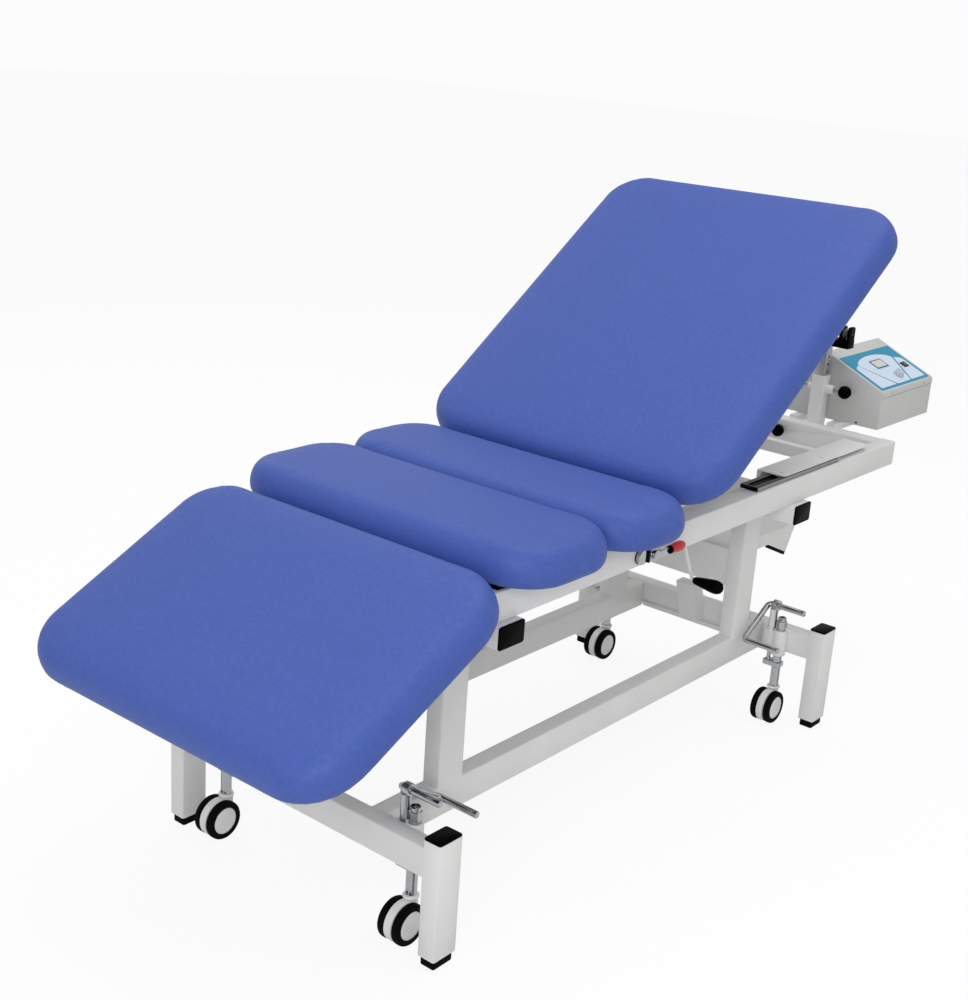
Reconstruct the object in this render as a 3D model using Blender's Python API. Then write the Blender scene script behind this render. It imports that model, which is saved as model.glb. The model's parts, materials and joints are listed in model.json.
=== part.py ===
"""Traction table: a wheeled treatment couch with a tilting back, a drop leg section and a traction head."""

import math

import bmesh
import bpy
from mathutils import Matrix, Vector

# Sizes in metres. X runs from the foot end to the head end, Y from the near side to the far side.
GAP = 0.0003
FOOT_X = -0.8800

# Standing frame
HALF_WIDTH = 0.361
LEG_X = 0.060
LEG_Y = 0.040
LEG_TOP = 0.250
LEG_PITCH = 1.376
FOOT_PAD_H = 0.019
CAP_H = 0.0035
BEAM_X = 0.040
BEAM_Z = 0.174
BEAM_H = 0.060
RAIL_OUT = 0.197
RAIL_W = 0.040
RAIL_Z = 0.167
RAIL_H = 0.065
POST_X = 0.071
POST_FOOT = 0.178
POST_INSET = 0.075
POST_HEAD = LEG_PITCH - POST_INSET - POST_X
POST_TOP = 0.546
CROSS_H = 0.045
CROSS_HALF = 0.3125
CORNER = 0.004
TRAY_Z = 0.443
TRAY_T = 0.003
TRAY_DROP = 0.093
TRAY_FLANGE = 0.031
TRAY_SKEW = 0.073
TRAY_FOOT = POST_HEAD + 0.008
TRAY_SHOULDER = TRAY_FOOT + 0.182
TRAY_SNOUT = TRAY_FOOT + 0.2795
TRAY_HEAD = TRAY_FOOT + 0.318

# Upper frame
UP_OUT = 0.301
UP_W = 0.040
UP_H = 0.060
UP_FOOT = 0.150
UP_HEAD = 1.750
UP_Z = POST_TOP + GAP + CROSS_H + GAP
UP_TOP = UP_Z + UP_H
HINGE_R = 0.006
HINGE_Z = 0.640
HINGE_CLEAR = 0.0003
STIFFENER_X = 0.420
STIFFENER_W = 0.030

# Castors and their jacks
STEM_Y = 0.253
STEM_OFF = 0.014
STEM_R = 0.011
SLEEVE_R = 0.017
JACK_Y = 0.229
JACK_R = 0.010
JACK_Z = 0.292
LIFT_ROD_R = 0.005
CASTOR_DROP = 0.008
WHEEL_R = 0.040
WHEEL_LIFT = 0.001
TYRE_W = 0.0155
WHEEL_GAP = 0.020
TRAIL = 0.022
STEM_FOOT_Z = 0.0885
LIFT_ARM_Z = 0.138
LIFT_ARM_H = 0.014
LEVER_R = 0.007
LEVER_BEND = 0.012
LEVER_ARM = 0.126
LEVER_DROP = math.radians(31.0)
LEVER_IN = 0.213
LEVER_PIVOT_OUT = 0.310
LEVER_GRIP_OUT = 0.308

# Sliding carriage
SLIDE_Y = 0.250
SLIDE_W = 0.045
SLIDE_H = 0.009
SLIDE_FOOT = 1.080
SLIDE_HEAD = 1.456
RUNNER_Y = 0.2725
RUNNER_HALF = 0.010
RUNNER_CLEAR = 0.0005
SIDE_BAR_Y = 0.222
SIDE_BAR_W = 0.025
SIDE_BAR_Z = 0.600
SIDE_BAR_H = 0.038
TAB_T = 0.003
TAB_OUT = 0.292
TAB_FOOT = 1.200
TAB_HEAD = 1.620
CARRIAGE_HEAD = TAB_HEAD + 0.005
BACK_HINGE = 0.728
CARRIAGE_FOOT = BACK_HINGE - 0.023
CROSSBARS = (TAB_FOOT - 0.010, TAB_HEAD - 0.060)
RELEASE_X = 0.880
RELEASE_Y = 0.238
RELEASE_Z = 0.582

# Sections and cushions
BACK_TILT = math.radians(35.2)
LEG_HINGE = 0.169
LEG_TILT = math.radians(27.0)
TUBE = 0.025
FRAME_Y = 0.195
PAD_BASE = 0.0255
PAD_EDGE = 0.035
PAD_CROWN = 0.004
CROWN_RUN = 0.070
CROWN_CORNER = 0.012
UNDER_DRAW = 1.35
BACK_LEN = 0.899
BACK_START = 0.041
LEGREST_LEN = 0.521
LEGREST_START = 0.004
PAD_HALF = 0.388
PAD_CORNER = 0.105
THIGH_FOOT = 0.166
THIGH_HEAD = 0.4535
SEAT_FOOT = 0.4565
SEAT_HEAD = 0.711
SEAT_BASE_Z = HINGE_Z + PAD_BASE
BACK_FRAME_LEN = BACK_LEN - 0.099
BACK_BARS = (0.075, 0.2875, 0.5, 0.735)
LEG_FRAME_LEN = LEGREST_LEN - 0.061
LEG_BARS = (0.13, 0.445, 0.76)

# Gas springs
BACK_ANCHOR = (0.757, 0.545)
BACK_LUG = (BACK_BARS[2] * BACK_FRAME_LEN, -0.020)
LEG_ANCHOR = (0.160, 0.560)
LEG_LUG = (-LEG_BARS[2] * LEG_FRAME_LEN, -0.030)
LUG_IN = 0.011
LUG_T = 0.004
PIN_R = 0.004
PIN_CLEAR = 0.0003
CYL_R = 0.011
SPRING_ROD_R = 0.005
BACK_CYL_LEN = 0.240
BACK_ROD_LEN = 0.300
LEG_CYL_LEN = 0.180
LEG_ROD_LEN = 0.220

# Traction head
MAST_SOCKET = 0.036
MAST_TUBE = 0.028
MAST_X = UP_HEAD + 2 * GAP + MAST_SOCKET / 2
MAST_Y = -0.067
MAST_CLEAR = 0.0004
MAST_FOOT = 0.620
SOCKET_TOP = 0.775
MAST_TOP = 0.855
PLUNGER_Z = 0.741
BALL_R = 0.017
SHEAVE_Y = -0.1215
SHEAVE_Z = MAST_TOP + 0.036
KNOB_Z = 0.622
CASE_FOOT = 1.790
CASE_HEAD = 2.090
CASE_NEAR = -0.230
CASE_FAR = 0.032
CASE_Z = 0.658
CASE_NEAR_TOP = 0.756
PEAK_Y = -0.060
PEAK_Z = 0.832
ARM_H = 0.018
ARM_HEAD = CASE_HEAD - 0.090

# Lock clamp on the near rail
CLAMP_X = 0.657
CLAMP_Z = 0.614
CLAMP_FOOT = 0.062
CLAMP_D = 0.014

for leftover in list(bpy.data.objects):
    bpy.data.objects.remove(leftover, do_unlink=True)

table = bpy.data.collections.new("traction_table")
bpy.context.scene.collection.children.link(table)


def material(name, colour, roughness, metallic=0.0):
    made = bpy.data.materials.new(name)
    made.use_nodes = True
    shader = made.node_tree.nodes["Principled BSDF"]
    shader.inputs["Base Color"].default_value = (*colour, 1.0)
    shader.inputs["Roughness"].default_value = roughness
    shader.inputs["Metallic"].default_value = metallic
    return made


POWDER = material("white powder coat", (0.78, 0.79, 0.80), 0.45)
VINYL = material("blue vinyl", (0.09, 0.15, 0.46), 0.5)
CHROME = material("chromed steel", (0.72, 0.72, 0.73), 0.15, 1.0)
ZINC = material("zinc-plated steel", (0.55, 0.56, 0.57), 0.35, 1.0)
RUBBER = material("black rubber", (0.02, 0.02, 0.02), 0.8)
BLACK = material("black plastic", (0.025, 0.025, 0.028), 0.4)
GREY = material("grey plastic", (0.45, 0.46, 0.48), 0.45)
RED = material("red plastic", (0.62, 0.05, 0.06), 0.4)


# Basic shapes
def new_object(name, bm):
    bmesh.ops.recalc_face_normals(bm, faces=bm.faces)
    mesh = bpy.data.meshes.new(name)
    bm.to_mesh(mesh)
    bm.free()
    obj = bpy.data.objects.new(name, mesh)
    table.objects.link(obj)
    return obj


def box(name, lo, hi, corner=0.0, axis=None, segments=2):
    bm = bmesh.new()
    bmesh.ops.create_cube(bm, size=1.0)
    size = Vector(hi) - Vector(lo)
    middle = (Vector(hi) + Vector(lo)) / 2
    bmesh.ops.transform(bm, matrix=Matrix.Translation(middle) @ Matrix.Diagonal((*size, 1)), verts=bm.verts)
    if corner:
        edges = []
        for edge in bm.edges:
            run = (edge.verts[1].co - edge.verts[0].co).normalized()
            if axis is None or abs(run["xyz".index(axis)]) > 0.9:
                edges.append(edge)
        bmesh.ops.bevel(bm, geom=edges, offset=corner, segments=segments, profile=0.5, affect="EDGES")
    return new_object(name, bm)


def rod(name, start, end, radius, sides=24, tip=None):
    start, end = Vector(start), Vector(end)
    run = end - start
    bm = bmesh.new()
    bmesh.ops.create_cone(bm, cap_ends=True, segments=sides, radius1=radius,
                          radius2=radius if tip is None else tip, depth=run.length)
    turn = run.to_track_quat("Z", "Y").to_matrix().to_4x4()
    bmesh.ops.transform(bm, matrix=Matrix.Translation((start + end) / 2) @ turn, verts=bm.verts)
    return new_object(name, bm)


def prism(name, outline, lo, hi, axis):
    """Outline in the two axes left over, in x, y, z order, drawn out along axis."""
    bm = bmesh.new()
    place = {"x": lambda a, b, c: (c, a, b), "y": lambda a, b, c: (a, c, b), "z": lambda a, b, c: (a, b, c)}[axis]
    low = [bm.verts.new(place(a, b, lo)) for a, b in outline]
    high = [bm.verts.new(place(a, b, hi)) for a, b in outline]
    bm.faces.new(low)
    bm.faces.new(high)
    for i in range(len(outline)):
        j = (i + 1) % len(outline)
        bm.faces.new((low[i], low[j], high[j], high[i]))
    return new_object(name, bm)


def turned(name, profile, at=(0, 0, 0), along="z", sides=32):
    """Profile of (radius, height) pairs from one end to the other, spun about the axis through at."""
    turn = {"z": Matrix.Identity(4), "y": Matrix.Rotation(-math.pi / 2, 4, "X"),
            "x": Matrix.Rotation(math.pi / 2, 4, "Y")}[along]
    bm = bmesh.new()
    rings = []
    for radius, height in profile:
        if radius < 1e-6:
            rings.append([bm.verts.new((0, 0, height))])
            continue
        ring = []
        for k in range(sides):
            angle = 2 * math.pi * k / sides
            ring.append(bm.verts.new((radius * math.cos(angle), radius * math.sin(angle), height)))
        rings.append(ring)
    for lower, upper in zip(rings, rings[1:]):
        for k in range(sides):
            m = (k + 1) % sides
            if len(lower) == 1:
                bm.faces.new((lower[0], upper[m], upper[k]))
            elif len(upper) == 1:
                bm.faces.new((lower[k], lower[m], upper[0]))
            else:
                bm.faces.new((lower[k], lower[m], upper[m], upper[k]))
    for ring in (rings[0], rings[-1]):
        if len(ring) > 1:
            bm.faces.new(ring)
    bmesh.ops.transform(bm, matrix=Matrix.Translation(at) @ turn, verts=bm.verts)
    return new_object(name, bm)


def bent_rod(name, points, radius, bend, sides=12, steps=4):
    """Round bar through the corner points, each corner turned on the bend radius."""
    points = [Vector(p) for p in points]
    path = [points[0]]
    for before, corner, after in zip(points, points[1:], points[2:]):
        back = (before - corner).normalized()
        ahead = (after - corner).normalized()
        half = back.angle(ahead) / 2
        middle = corner + (back + ahead).normalized() * bend / math.sin(half)
        first = corner + back * bend / math.tan(half) - middle
        last = corner + ahead * bend / math.tan(half) - middle
        swing = first.angle(last)
        normal = first.cross(last).normalized()
        for k in range(steps + 1):
            path.append(middle + Matrix.Rotation(swing * k / steps, 3, normal) @ first)
    path.append(points[-1])
    bm = bmesh.new()
    rings = []
    side = (path[1] - path[0]).orthogonal().normalized()
    for i, point in enumerate(path):
        run = (path[min(i + 1, len(path) - 1)] - path[max(i - 1, 0)]).normalized()
        side = (side - run * side.dot(run)).normalized()
        other = run.cross(side)
        ring = []
        for k in range(sides):
            angle = 2 * math.pi * k / sides
            ring.append(bm.verts.new(point + radius * (math.cos(angle) * side + math.sin(angle) * other)))
        rings.append(ring)
    for lower, upper in zip(rings, rings[1:]):
        for k in range(sides):
            m = (k + 1) % sides
            bm.faces.new((lower[k], lower[m], upper[m], upper[k]))
    bm.faces.new(rings[0])
    bm.faces.new(rings[-1])
    return new_object(name, bm)


def combine(base, tools, operation):
    for tool in tools:
        step = base.modifiers.new("step", "BOOLEAN")
        step.operation = operation
        step.solver = "EXACT"
        step.object = tool
        bpy.context.view_layer.update()
        graph = bpy.context.evaluated_depsgraph_get()
        result = bpy.data.meshes.new_from_object(base.evaluated_get(graph))
        base.modifiers.clear()
        spent = base.data
        base.data = result
        bpy.data.meshes.remove(spent)
        bpy.data.objects.remove(tool, do_unlink=True)
    return base


def weld(base, *tools):
    return combine(base, tools, "UNION")


def bore(base, *tools):
    return combine(base, tools, "DIFFERENCE")


def finish(obj, look):
    obj.data.materials.clear()
    obj.data.materials.append(look)
    return obj


def origin_at(obj, point):
    """Moves the origin to a point on the piece's joint axis without moving the piece."""
    obj.data.transform(Matrix.Translation(-Vector(point)))
    obj.location = point
    return obj


def hung_on(obj, point, tilt):
    """Places a piece drawn in its hinge's own frame at the hinge, tilted about Y."""
    obj.location = point
    obj.rotation_euler = (0.0, -tilt, 0.0)
    return obj


def x_at(distance):
    return FOOT_X + distance


SIDES = (("near", -1), ("far", 1))
ENDS = (("foot", 1), ("head", -1))
BEAM_TOP = BEAM_Z + BEAM_H
RAIL_TOP = RAIL_Z + RAIL_H


def span_y(sign, a, b):
    return (min(sign * a, sign * b), max(sign * a, sign * b))


def side_box(name, x0, x1, sign, y0, y1, z0, z1, corner=0.0, axis=None, segments=2):
    lo_y, hi_y = span_y(sign, y0, y1)
    return box(name, (x0, lo_y, z0), (x1, hi_y, z1), corner, axis, segments)


# End frames: two legs and a crossbeam, with the castor sleeves and jack posts welded on
def end_frame(end, inward):
    leg_x = x_at(0.0 if end == "foot" else LEG_PITCH)
    face = leg_x + BEAM_X if end == "foot" else leg_x
    stem_x = face + inward * STEM_OFF
    frame = box(end + "_end_frame", (leg_x + 0.0005, -HALF_WIDTH + LEG_Y - 0.01, BEAM_Z),
                (leg_x + BEAM_X, HALF_WIDTH - LEG_Y + 0.01, BEAM_TOP), CORNER, "y")
    for side, sign in SIDES:
        leg = side_box("leg", leg_x, leg_x + LEG_X, sign, HALF_WIDTH - LEG_Y, HALF_WIDTH,
                       FOOT_PAD_H + GAP, LEG_TOP, CORNER, "z")
        sleeve = rod("sleeve", (stem_x, sign * STEM_Y, BEAM_Z - 0.004), (stem_x, sign * STEM_Y, BEAM_TOP), SLEEVE_R, 18)
        ends_x = sorted((face - inward * 0.002, stem_x + inward * 0.008))
        block = side_box("block", ends_x[0], ends_x[1], sign, JACK_Y - 0.014, STEM_Y - 0.006,
                         BEAM_Z + 0.008, BEAM_TOP - 0.006)
        post = rod("post", (stem_x, sign * JACK_Y, BEAM_Z), (stem_x, sign * JACK_Y, JACK_Z - 0.010), JACK_R, 14)
        eye = rod("eye", (stem_x, sign * (JACK_Y - 0.003), JACK_Z), (stem_x, sign * (JACK_Y + 0.013), JACK_Z), 0.013, 16)
        weld(frame, leg, sleeve, block, post, eye)
        stem_bore = rod("stem bore", (stem_x, sign * STEM_Y, 0.15), (stem_x, sign * STEM_Y, 0.25),
                        STEM_R + 0.0006, 18)
        rod_bore = rod("rod bore", (stem_x, sign * JACK_Y, 0.15), (stem_x, sign * JACK_Y, 0.268),
                       LIFT_ROD_R + 0.0006, 10)
        eye_bore = rod("eye bore", (stem_x, sign * (JACK_Y - 0.02), JACK_Z), (stem_x, sign * (JACK_Y + 0.03), JACK_Z),
                       LEVER_R + GAP, 16)
        bore(frame, stem_bore, rod_bore, eye_bore)
    if end == "head":
        tie = rod("tie", (face - 0.004, -RAIL_OUT + RAIL_W + 0.008, BEAM_Z + 0.004),
                  (face - 0.004, RAIL_OUT - RAIL_W - 0.008, BEAM_Z + 0.004), 0.006, 16)
        lug = prism("lug", ((face + 0.002, BEAM_Z + 0.012), (face + 0.002, BEAM_TOP - 0.002), (face - 0.028, 0.292),
                            (face - 0.060, 0.292), (face - 0.030, BEAM_Z + 0.012)), -0.026, 0.026, "y")
        weld(frame, tie, lug)
    return finish(frame, POWDER)


for end, inward in ENDS:
    end_frame(end, inward)

# Leg caps and rubber feet
for end, inward in ENDS:
    leg_x = x_at(0.0 if end == "foot" else LEG_PITCH)
    for side, sign in SIDES:
        cap = side_box("leg_cap_%s_%s" % (side, end), leg_x + 0.001, leg_x + LEG_X - 0.001, sign,
                       HALF_WIDTH - LEG_Y + 0.001, HALF_WIDTH - 0.001, LEG_TOP + GAP, LEG_TOP + GAP + CAP_H, 0.0012, None, 1)
        finish(cap, BLACK)
        pad = side_box("foot_pad_%s_%s" % (side, end), leg_x + 0.002, leg_x + LEG_X - 0.002, sign,
                       HALF_WIDTH - LEG_Y + 0.002, HALF_WIDTH - 0.002, 0.0, FOOT_PAD_H, 0.004, "z")
        finish(pad, RUBBER)

# Side frames: a long lower rail with a post near each end; the far one carries the folded tray behind the posts
for side, sign in SIDES:
    frame = side_box("side_frame_" + side, x_at(BEAM_X) + GAP, x_at(LEG_PITCH) - GAP, sign,
                     RAIL_OUT - RAIL_W, RAIL_OUT, RAIL_Z, RAIL_TOP, CORNER, "x")
    for start in (POST_FOOT, POST_HEAD):
        post = side_box("post", x_at(start), x_at(start) + POST_X, sign, RAIL_OUT - RAIL_W + 0.0003,
                        RAIL_OUT - 0.0003, RAIL_TOP - 0.02, POST_TOP, CORNER, "z")
        weld(frame, post)
    if side == "far":
        inner_y = RAIL_OUT - RAIL_W
        low_z = TRAY_Z - TRAY_FLANGE
        deck = box("deck", (x_at(TRAY_FOOT), -inner_y, TRAY_Z - TRAY_T), (x_at(TRAY_HEAD) - 0.006, inner_y + 0.002, TRAY_Z))
        apron = box("apron", (x_at(TRAY_FOOT) + 0.0003, -inner_y + 0.0003, TRAY_Z - TRAY_DROP),
                    (x_at(TRAY_FOOT) + TRAY_T, inner_y + 0.0015, TRAY_Z - 0.001))
        outline = ((x_at(TRAY_FOOT) + 0.0006, low_z), (x_at(TRAY_SHOULDER), low_z), (x_at(TRAY_SNOUT), TRAY_Z - TRAY_SKEW),
                   (x_at(TRAY_HEAD), TRAY_Z - TRAY_T), (x_at(TRAY_HEAD) - 0.008, TRAY_Z - 0.0003),
                   (x_at(TRAY_FOOT) + 0.0006, TRAY_Z - 0.0003))
        flange_near = prism("flange", outline, -inner_y + 0.0001, -inner_y + TRAY_T, "y")
        flange_far = prism("flange", outline, inner_y - TRAY_T, inner_y + 0.001, "y")
        weld(frame, deck, apron, flange_near, flange_far)
    finish(frame, POWDER)

# Cross tubes on the posts, with their end caps
CROSS_Z = POST_TOP + GAP
CROSS_TOP = CROSS_Z + CROSS_H
for end, start in (("foot", POST_FOOT), ("head", POST_HEAD)):
    tube_x = x_at(start)
    tube = box("cross_tube_" + end, (tube_x, -CROSS_HALF, CROSS_Z), (tube_x + POST_X, CROSS_HALF, CROSS_TOP),
               CORNER, "y")
    if end == "foot":
        for sign in (-1, 1):
            cheek = side_box("cheek", x_at(LEG_ANCHOR[0]) - 0.012, tube_x + 0.004, sign, LUG_IN, LUG_IN + LUG_T,
                             CROSS_Z + 0.002, CROSS_Z + 0.030)
            weld(tube, cheek)
        pin = (x_at(LEG_ANCHOR[0]), LEG_ANCHOR[1])
        bore(tube, rod("pin bore", (pin[0], -0.02, pin[1]), (pin[0], 0.02, pin[1]), PIN_R + PIN_CLEAR, 16))
    finish(tube, POWDER)
    for side, sign in SIDES:
        cap = side_box("cross_tube_cap_%s_%s" % (side, end), tube_x + 0.0005, tube_x + POST_X - 0.0005, sign,
                       CROSS_HALF + GAP, CROSS_HALF + GAP + CAP_H, CROSS_Z + 0.0005, CROSS_TOP - 0.0005, 0.0012, None, 1)
        finish(cap, BLACK)

# Upper frame: side rails, head rail, leg hinge rod, a stiffener and the blocks under the fixed cushions
upper = box("upper_frame", (x_at(UP_HEAD) - UP_W, -UP_OUT + 0.002, UP_Z + 0.0003),
            (x_at(UP_HEAD), UP_OUT - 0.002, UP_TOP - 0.0003), CORNER, "y")
for side, sign in SIDES:
    rail = side_box("rail", x_at(UP_FOOT), x_at(UP_HEAD) - 0.0003, sign, UP_OUT - UP_W, UP_OUT, UP_Z, UP_TOP,
                    CORNER, "x")
    weld(upper, rail)
bar = box("bar", (x_at(STIFFENER_X), -UP_OUT + UP_W - 0.004, UP_Z + 0.006),
          (x_at(STIFFENER_X) + STIFFENER_W, UP_OUT - UP_W + 0.004, UP_Z + 0.036))
hinge = rod("hinge", (x_at(LEG_HINGE), -UP_OUT + UP_W - 0.004, HINGE_Z), (x_at(LEG_HINGE), UP_OUT - UP_W + 0.004, HINGE_Z),
            HINGE_R, 20)
weld(upper, bar, hinge)
for side, sign in SIDES:
    for start in (THIGH_FOOT + 0.026, THIGH_HEAD - 0.056, SEAT_FOOT + 0.026, SEAT_HEAD - 0.056):
        block = side_box("block", x_at(start), x_at(start) + 0.030, sign, UP_OUT - 0.034, UP_OUT - 0.008,
                         UP_TOP - 0.002, SEAT_BASE_Z - GAP)
        weld(upper, block)
bore(upper, rod("knob bore", (x_at(UP_HEAD) - UP_W - 0.01, 0, KNOB_Z), (x_at(UP_HEAD) - 0.012, 0, KNOB_Z), 0.0043, 16))
finish(upper, POWDER)

# Slide channels on the rails
SLIDE_Z = UP_TOP + GAP
SLIDE_TOP = SLIDE_Z + SLIDE_H
for side, sign in SIDES:
    channel = side_box("slide_channel_" + side, x_at(SLIDE_FOOT), x_at(SLIDE_HEAD), sign, SLIDE_Y, SLIDE_Y + SLIDE_W,
                       SLIDE_Z, SLIDE_TOP)
    groove = side_box("groove", x_at(SLIDE_FOOT) + 0.008, x_at(SLIDE_HEAD) + 0.01, sign,
                      RUNNER_Y - RUNNER_HALF - RUNNER_CLEAR, RUNNER_Y + RUNNER_HALF + RUNNER_CLEAR,
                      SLIDE_Z + 0.0035, SLIDE_TOP + 0.01)
    bore(channel, groove)
    finish(channel, BLACK)

# Carriage: side bars joined by crossbars, tabs over the slides, the back hinge rod and the spring lugs
TAB_Z = SLIDE_TOP + GAP + 0.0002
SIDE_BAR_TOP = SIDE_BAR_Z + SIDE_BAR_H
carriage = box("carriage", (x_at(BACK_HINGE) - 0.013, -SIDE_BAR_Y - 0.004, SIDE_BAR_Z - 0.003),
               (x_at(BACK_HINGE) + 0.017, SIDE_BAR_Y + 0.004, SIDE_BAR_Z + 0.017))
for start in CROSSBARS:
    weld(carriage, box("crossbar", (x_at(start), -SIDE_BAR_Y - 0.004, SIDE_BAR_Z + 0.002),
                       (x_at(start) + TUBE, SIDE_BAR_Y + 0.004, SIDE_BAR_Z + 0.032)))
for side, sign in SIDES:
    bar = side_box("bar", x_at(CARRIAGE_FOOT), x_at(CARRIAGE_HEAD), sign, SIDE_BAR_Y, SIDE_BAR_Y + SIDE_BAR_W,
                   SIDE_BAR_Z, SIDE_BAR_TOP)
    ear = side_box("ear", x_at(BACK_HINGE) - 0.016, x_at(BACK_HINGE) + 0.016, sign, SIDE_BAR_Y + 0.002,
                   SIDE_BAR_Y + SIDE_BAR_W - 0.002, SIDE_BAR_TOP - 0.01, HINGE_Z + 0.016)
    web = side_box("web", x_at(TAB_FOOT), x_at(TAB_HEAD), sign, SIDE_BAR_Y + 0.0005, SIDE_BAR_Y + 0.010,
                   SIDE_BAR_TOP - 0.010, TAB_Z + TAB_T - 0.0003)
    tab = side_box("tab", x_at(TAB_FOOT) + 0.0005, x_at(TAB_HEAD) - 0.0005, sign, SIDE_BAR_Y + 0.001, TAB_OUT,
                   TAB_Z, TAB_Z + TAB_T, 0.012, "z")
    runner = side_box("runner", x_at(TAB_FOOT) + 0.015, x_at(SLIDE_HEAD) - 0.015, sign, RUNNER_Y - RUNNER_HALF,
                      RUNNER_Y + RUNNER_HALF, SLIDE_Z + 0.0040, TAB_Z + 0.001)
    cheek = side_box("cheek", x_at(BACK_ANCHOR[0]) - 0.022, x_at(BACK_ANCHOR[0]) + 0.014, sign, LUG_IN,
                     LUG_IN + LUG_T, BACK_ANCHOR[1] - 0.014, SIDE_BAR_Z + 0.006)
    weld(carriage, bar, ear, web, tab, runner, cheek)
weld(carriage, rod("hinge", (x_at(BACK_HINGE), -SIDE_BAR_Y - 0.006, HINGE_Z), (x_at(BACK_HINGE), SIDE_BAR_Y + 0.006, HINGE_Z),
                   HINGE_R, 20))
weld(carriage, box("hanger", (x_at(RELEASE_X) - 0.015, -SIDE_BAR_Y - 0.010, RELEASE_Z - 0.016),
                   (x_at(RELEASE_X) + 0.015, -SIDE_BAR_Y - 0.004, SIDE_BAR_Z + 0.004)))
anchor_x, anchor_z = x_at(BACK_ANCHOR[0]), BACK_ANCHOR[1]
bore(carriage, rod("pin bore", (anchor_x, -0.02, anchor_z), (anchor_x, 0.02, anchor_z), PIN_R + PIN_CLEAR, 16),
     rod("lever bore", (x_at(RELEASE_X), -SIDE_BAR_Y - 0.02, RELEASE_Z), (x_at(RELEASE_X), -SIDE_BAR_Y + 0.006, RELEASE_Z),
         0.0045, 16))
finish(carriage, POWDER)


# Tilting ladder frames under the back and leg cushions, drawn flat about their hinge
def ladder_frame(name, way, length, shares, lug):
    top = PAD_BASE - GAP
    low = top - 0.022
    frame = None
    for start in [share * length for share in shares] + [length - TUBE]:
        ends_x = sorted((way * start, way * (start + TUBE)))
        bar = box("bar", (ends_x[0], -FRAME_Y + 0.010, low + 0.002), (ends_x[1], FRAME_Y - 0.010, top - 0.0005))
        if frame:
            weld(frame, bar)
        else:
            frame = bar
            frame.name = name
    for side, sign in SIDES:
        ends_x = sorted((way * 0.004, way * length))
        rail = side_box("rail", ends_x[0], ends_x[1], sign, FRAME_Y - TUBE, FRAME_Y, low, top)
        ends_x = sorted((-way * 0.012, way * 0.030))
        ear = side_box("ear", ends_x[0], ends_x[1], sign, FRAME_Y - TUBE + 0.0005, FRAME_Y - 0.0005, -0.012, top - 0.0005)
        ends_x = sorted((lug[0] - way * 0.012, lug[0] + way * 0.020))
        cheek = side_box("cheek", ends_x[0], ends_x[1], sign, LUG_IN, LUG_IN + LUG_T, lug[1] - 0.014, top - 0.006)
        weld(frame, rail, ear, cheek)
    bore(frame, rod("hinge bore", (0, -0.25, 0), (0, 0.25, 0), HINGE_R + HINGE_CLEAR, 20))
    return finish(frame, POWDER)


back_hinge = (x_at(BACK_HINGE), 0.0, HINGE_Z)
leg_hinge = (x_at(LEG_HINGE), 0.0, HINGE_Z)
hung_on(ladder_frame("backrest_frame", 1, BACK_FRAME_LEN, BACK_BARS, BACK_LUG), back_hinge, BACK_TILT)
hung_on(ladder_frame("legrest_frame", -1, LEG_FRAME_LEN, LEG_BARS, LEG_LUG), leg_hinge, LEG_TILT)


# Cushions: full-round edges drawn in under the board, and a crowned top
def cushion(name, middle_x, half_x, half_y, corner, base):
    def ring(inset, height):
        reach = max(corner - inset, CROWN_CORNER)
        loop = []
        for cx, cy, first in ((1, 1, 0), (-1, 1, 90), (-1, -1, 180), (1, -1, 270)):
            px = cx * (half_x - inset - reach)
            py = cy * (half_y - inset - reach)
            for k in range(9):
                angle = math.radians(first + 90 * k / 8)
                loop.append((middle_x + px + reach * math.cos(angle), py + reach * math.sin(angle), base + height))
        return loop

    levels = [(PAD_EDGE * UNDER_DRAW + 0.006, 0.0)]
    for step in range(9):
        swing = math.radians(-90 + 22.5 * step)
        draw = UNDER_DRAW if swing < 0 else 1.0
        levels.append((PAD_EDGE * draw * (1 - math.cos(swing)), PAD_EDGE * (1 + math.sin(swing))))
    for step in range(1, 5):
        rise = PAD_CROWN * math.sin(math.pi / 2 * step / 4)
        levels.append((PAD_EDGE + CROWN_RUN * step / 4, 2 * PAD_EDGE + rise))
    bm = bmesh.new()
    loops = [[bm.verts.new(p) for p in ring(inset, height)] for inset, height in levels]
    count = len(loops[0])
    for lower, upper in zip(loops, loops[1:]):
        for k in range(count):
            m = (k + 1) % count
            bm.faces.new((lower[k], lower[m], upper[m], upper[k]))
    bm.faces.new(loops[0])
    bm.faces.new(loops[-1])
    return finish(new_object(name, bm), VINYL)


hung_on(cushion("backrest_cushion", BACK_START + BACK_LEN / 2, BACK_LEN / 2, PAD_HALF, PAD_CORNER, PAD_BASE),
        back_hinge, BACK_TILT)
hung_on(cushion("legrest_cushion", -LEGREST_START - LEGREST_LEN / 2, LEGREST_LEN / 2, PAD_HALF, PAD_CORNER, PAD_BASE),
        leg_hinge, LEG_TILT)
cushion("seat_cushion", x_at((SEAT_FOOT + SEAT_HEAD) / 2), (SEAT_HEAD - SEAT_FOOT) / 2, PAD_HALF, PAD_CORNER, SEAT_BASE_Z)
cushion("thigh_cushion", x_at((THIGH_FOOT + THIGH_HEAD) / 2), (THIGH_HEAD - THIGH_FOOT) / 2, PAD_HALF, PAD_CORNER,
        SEAT_BASE_Z)


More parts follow.
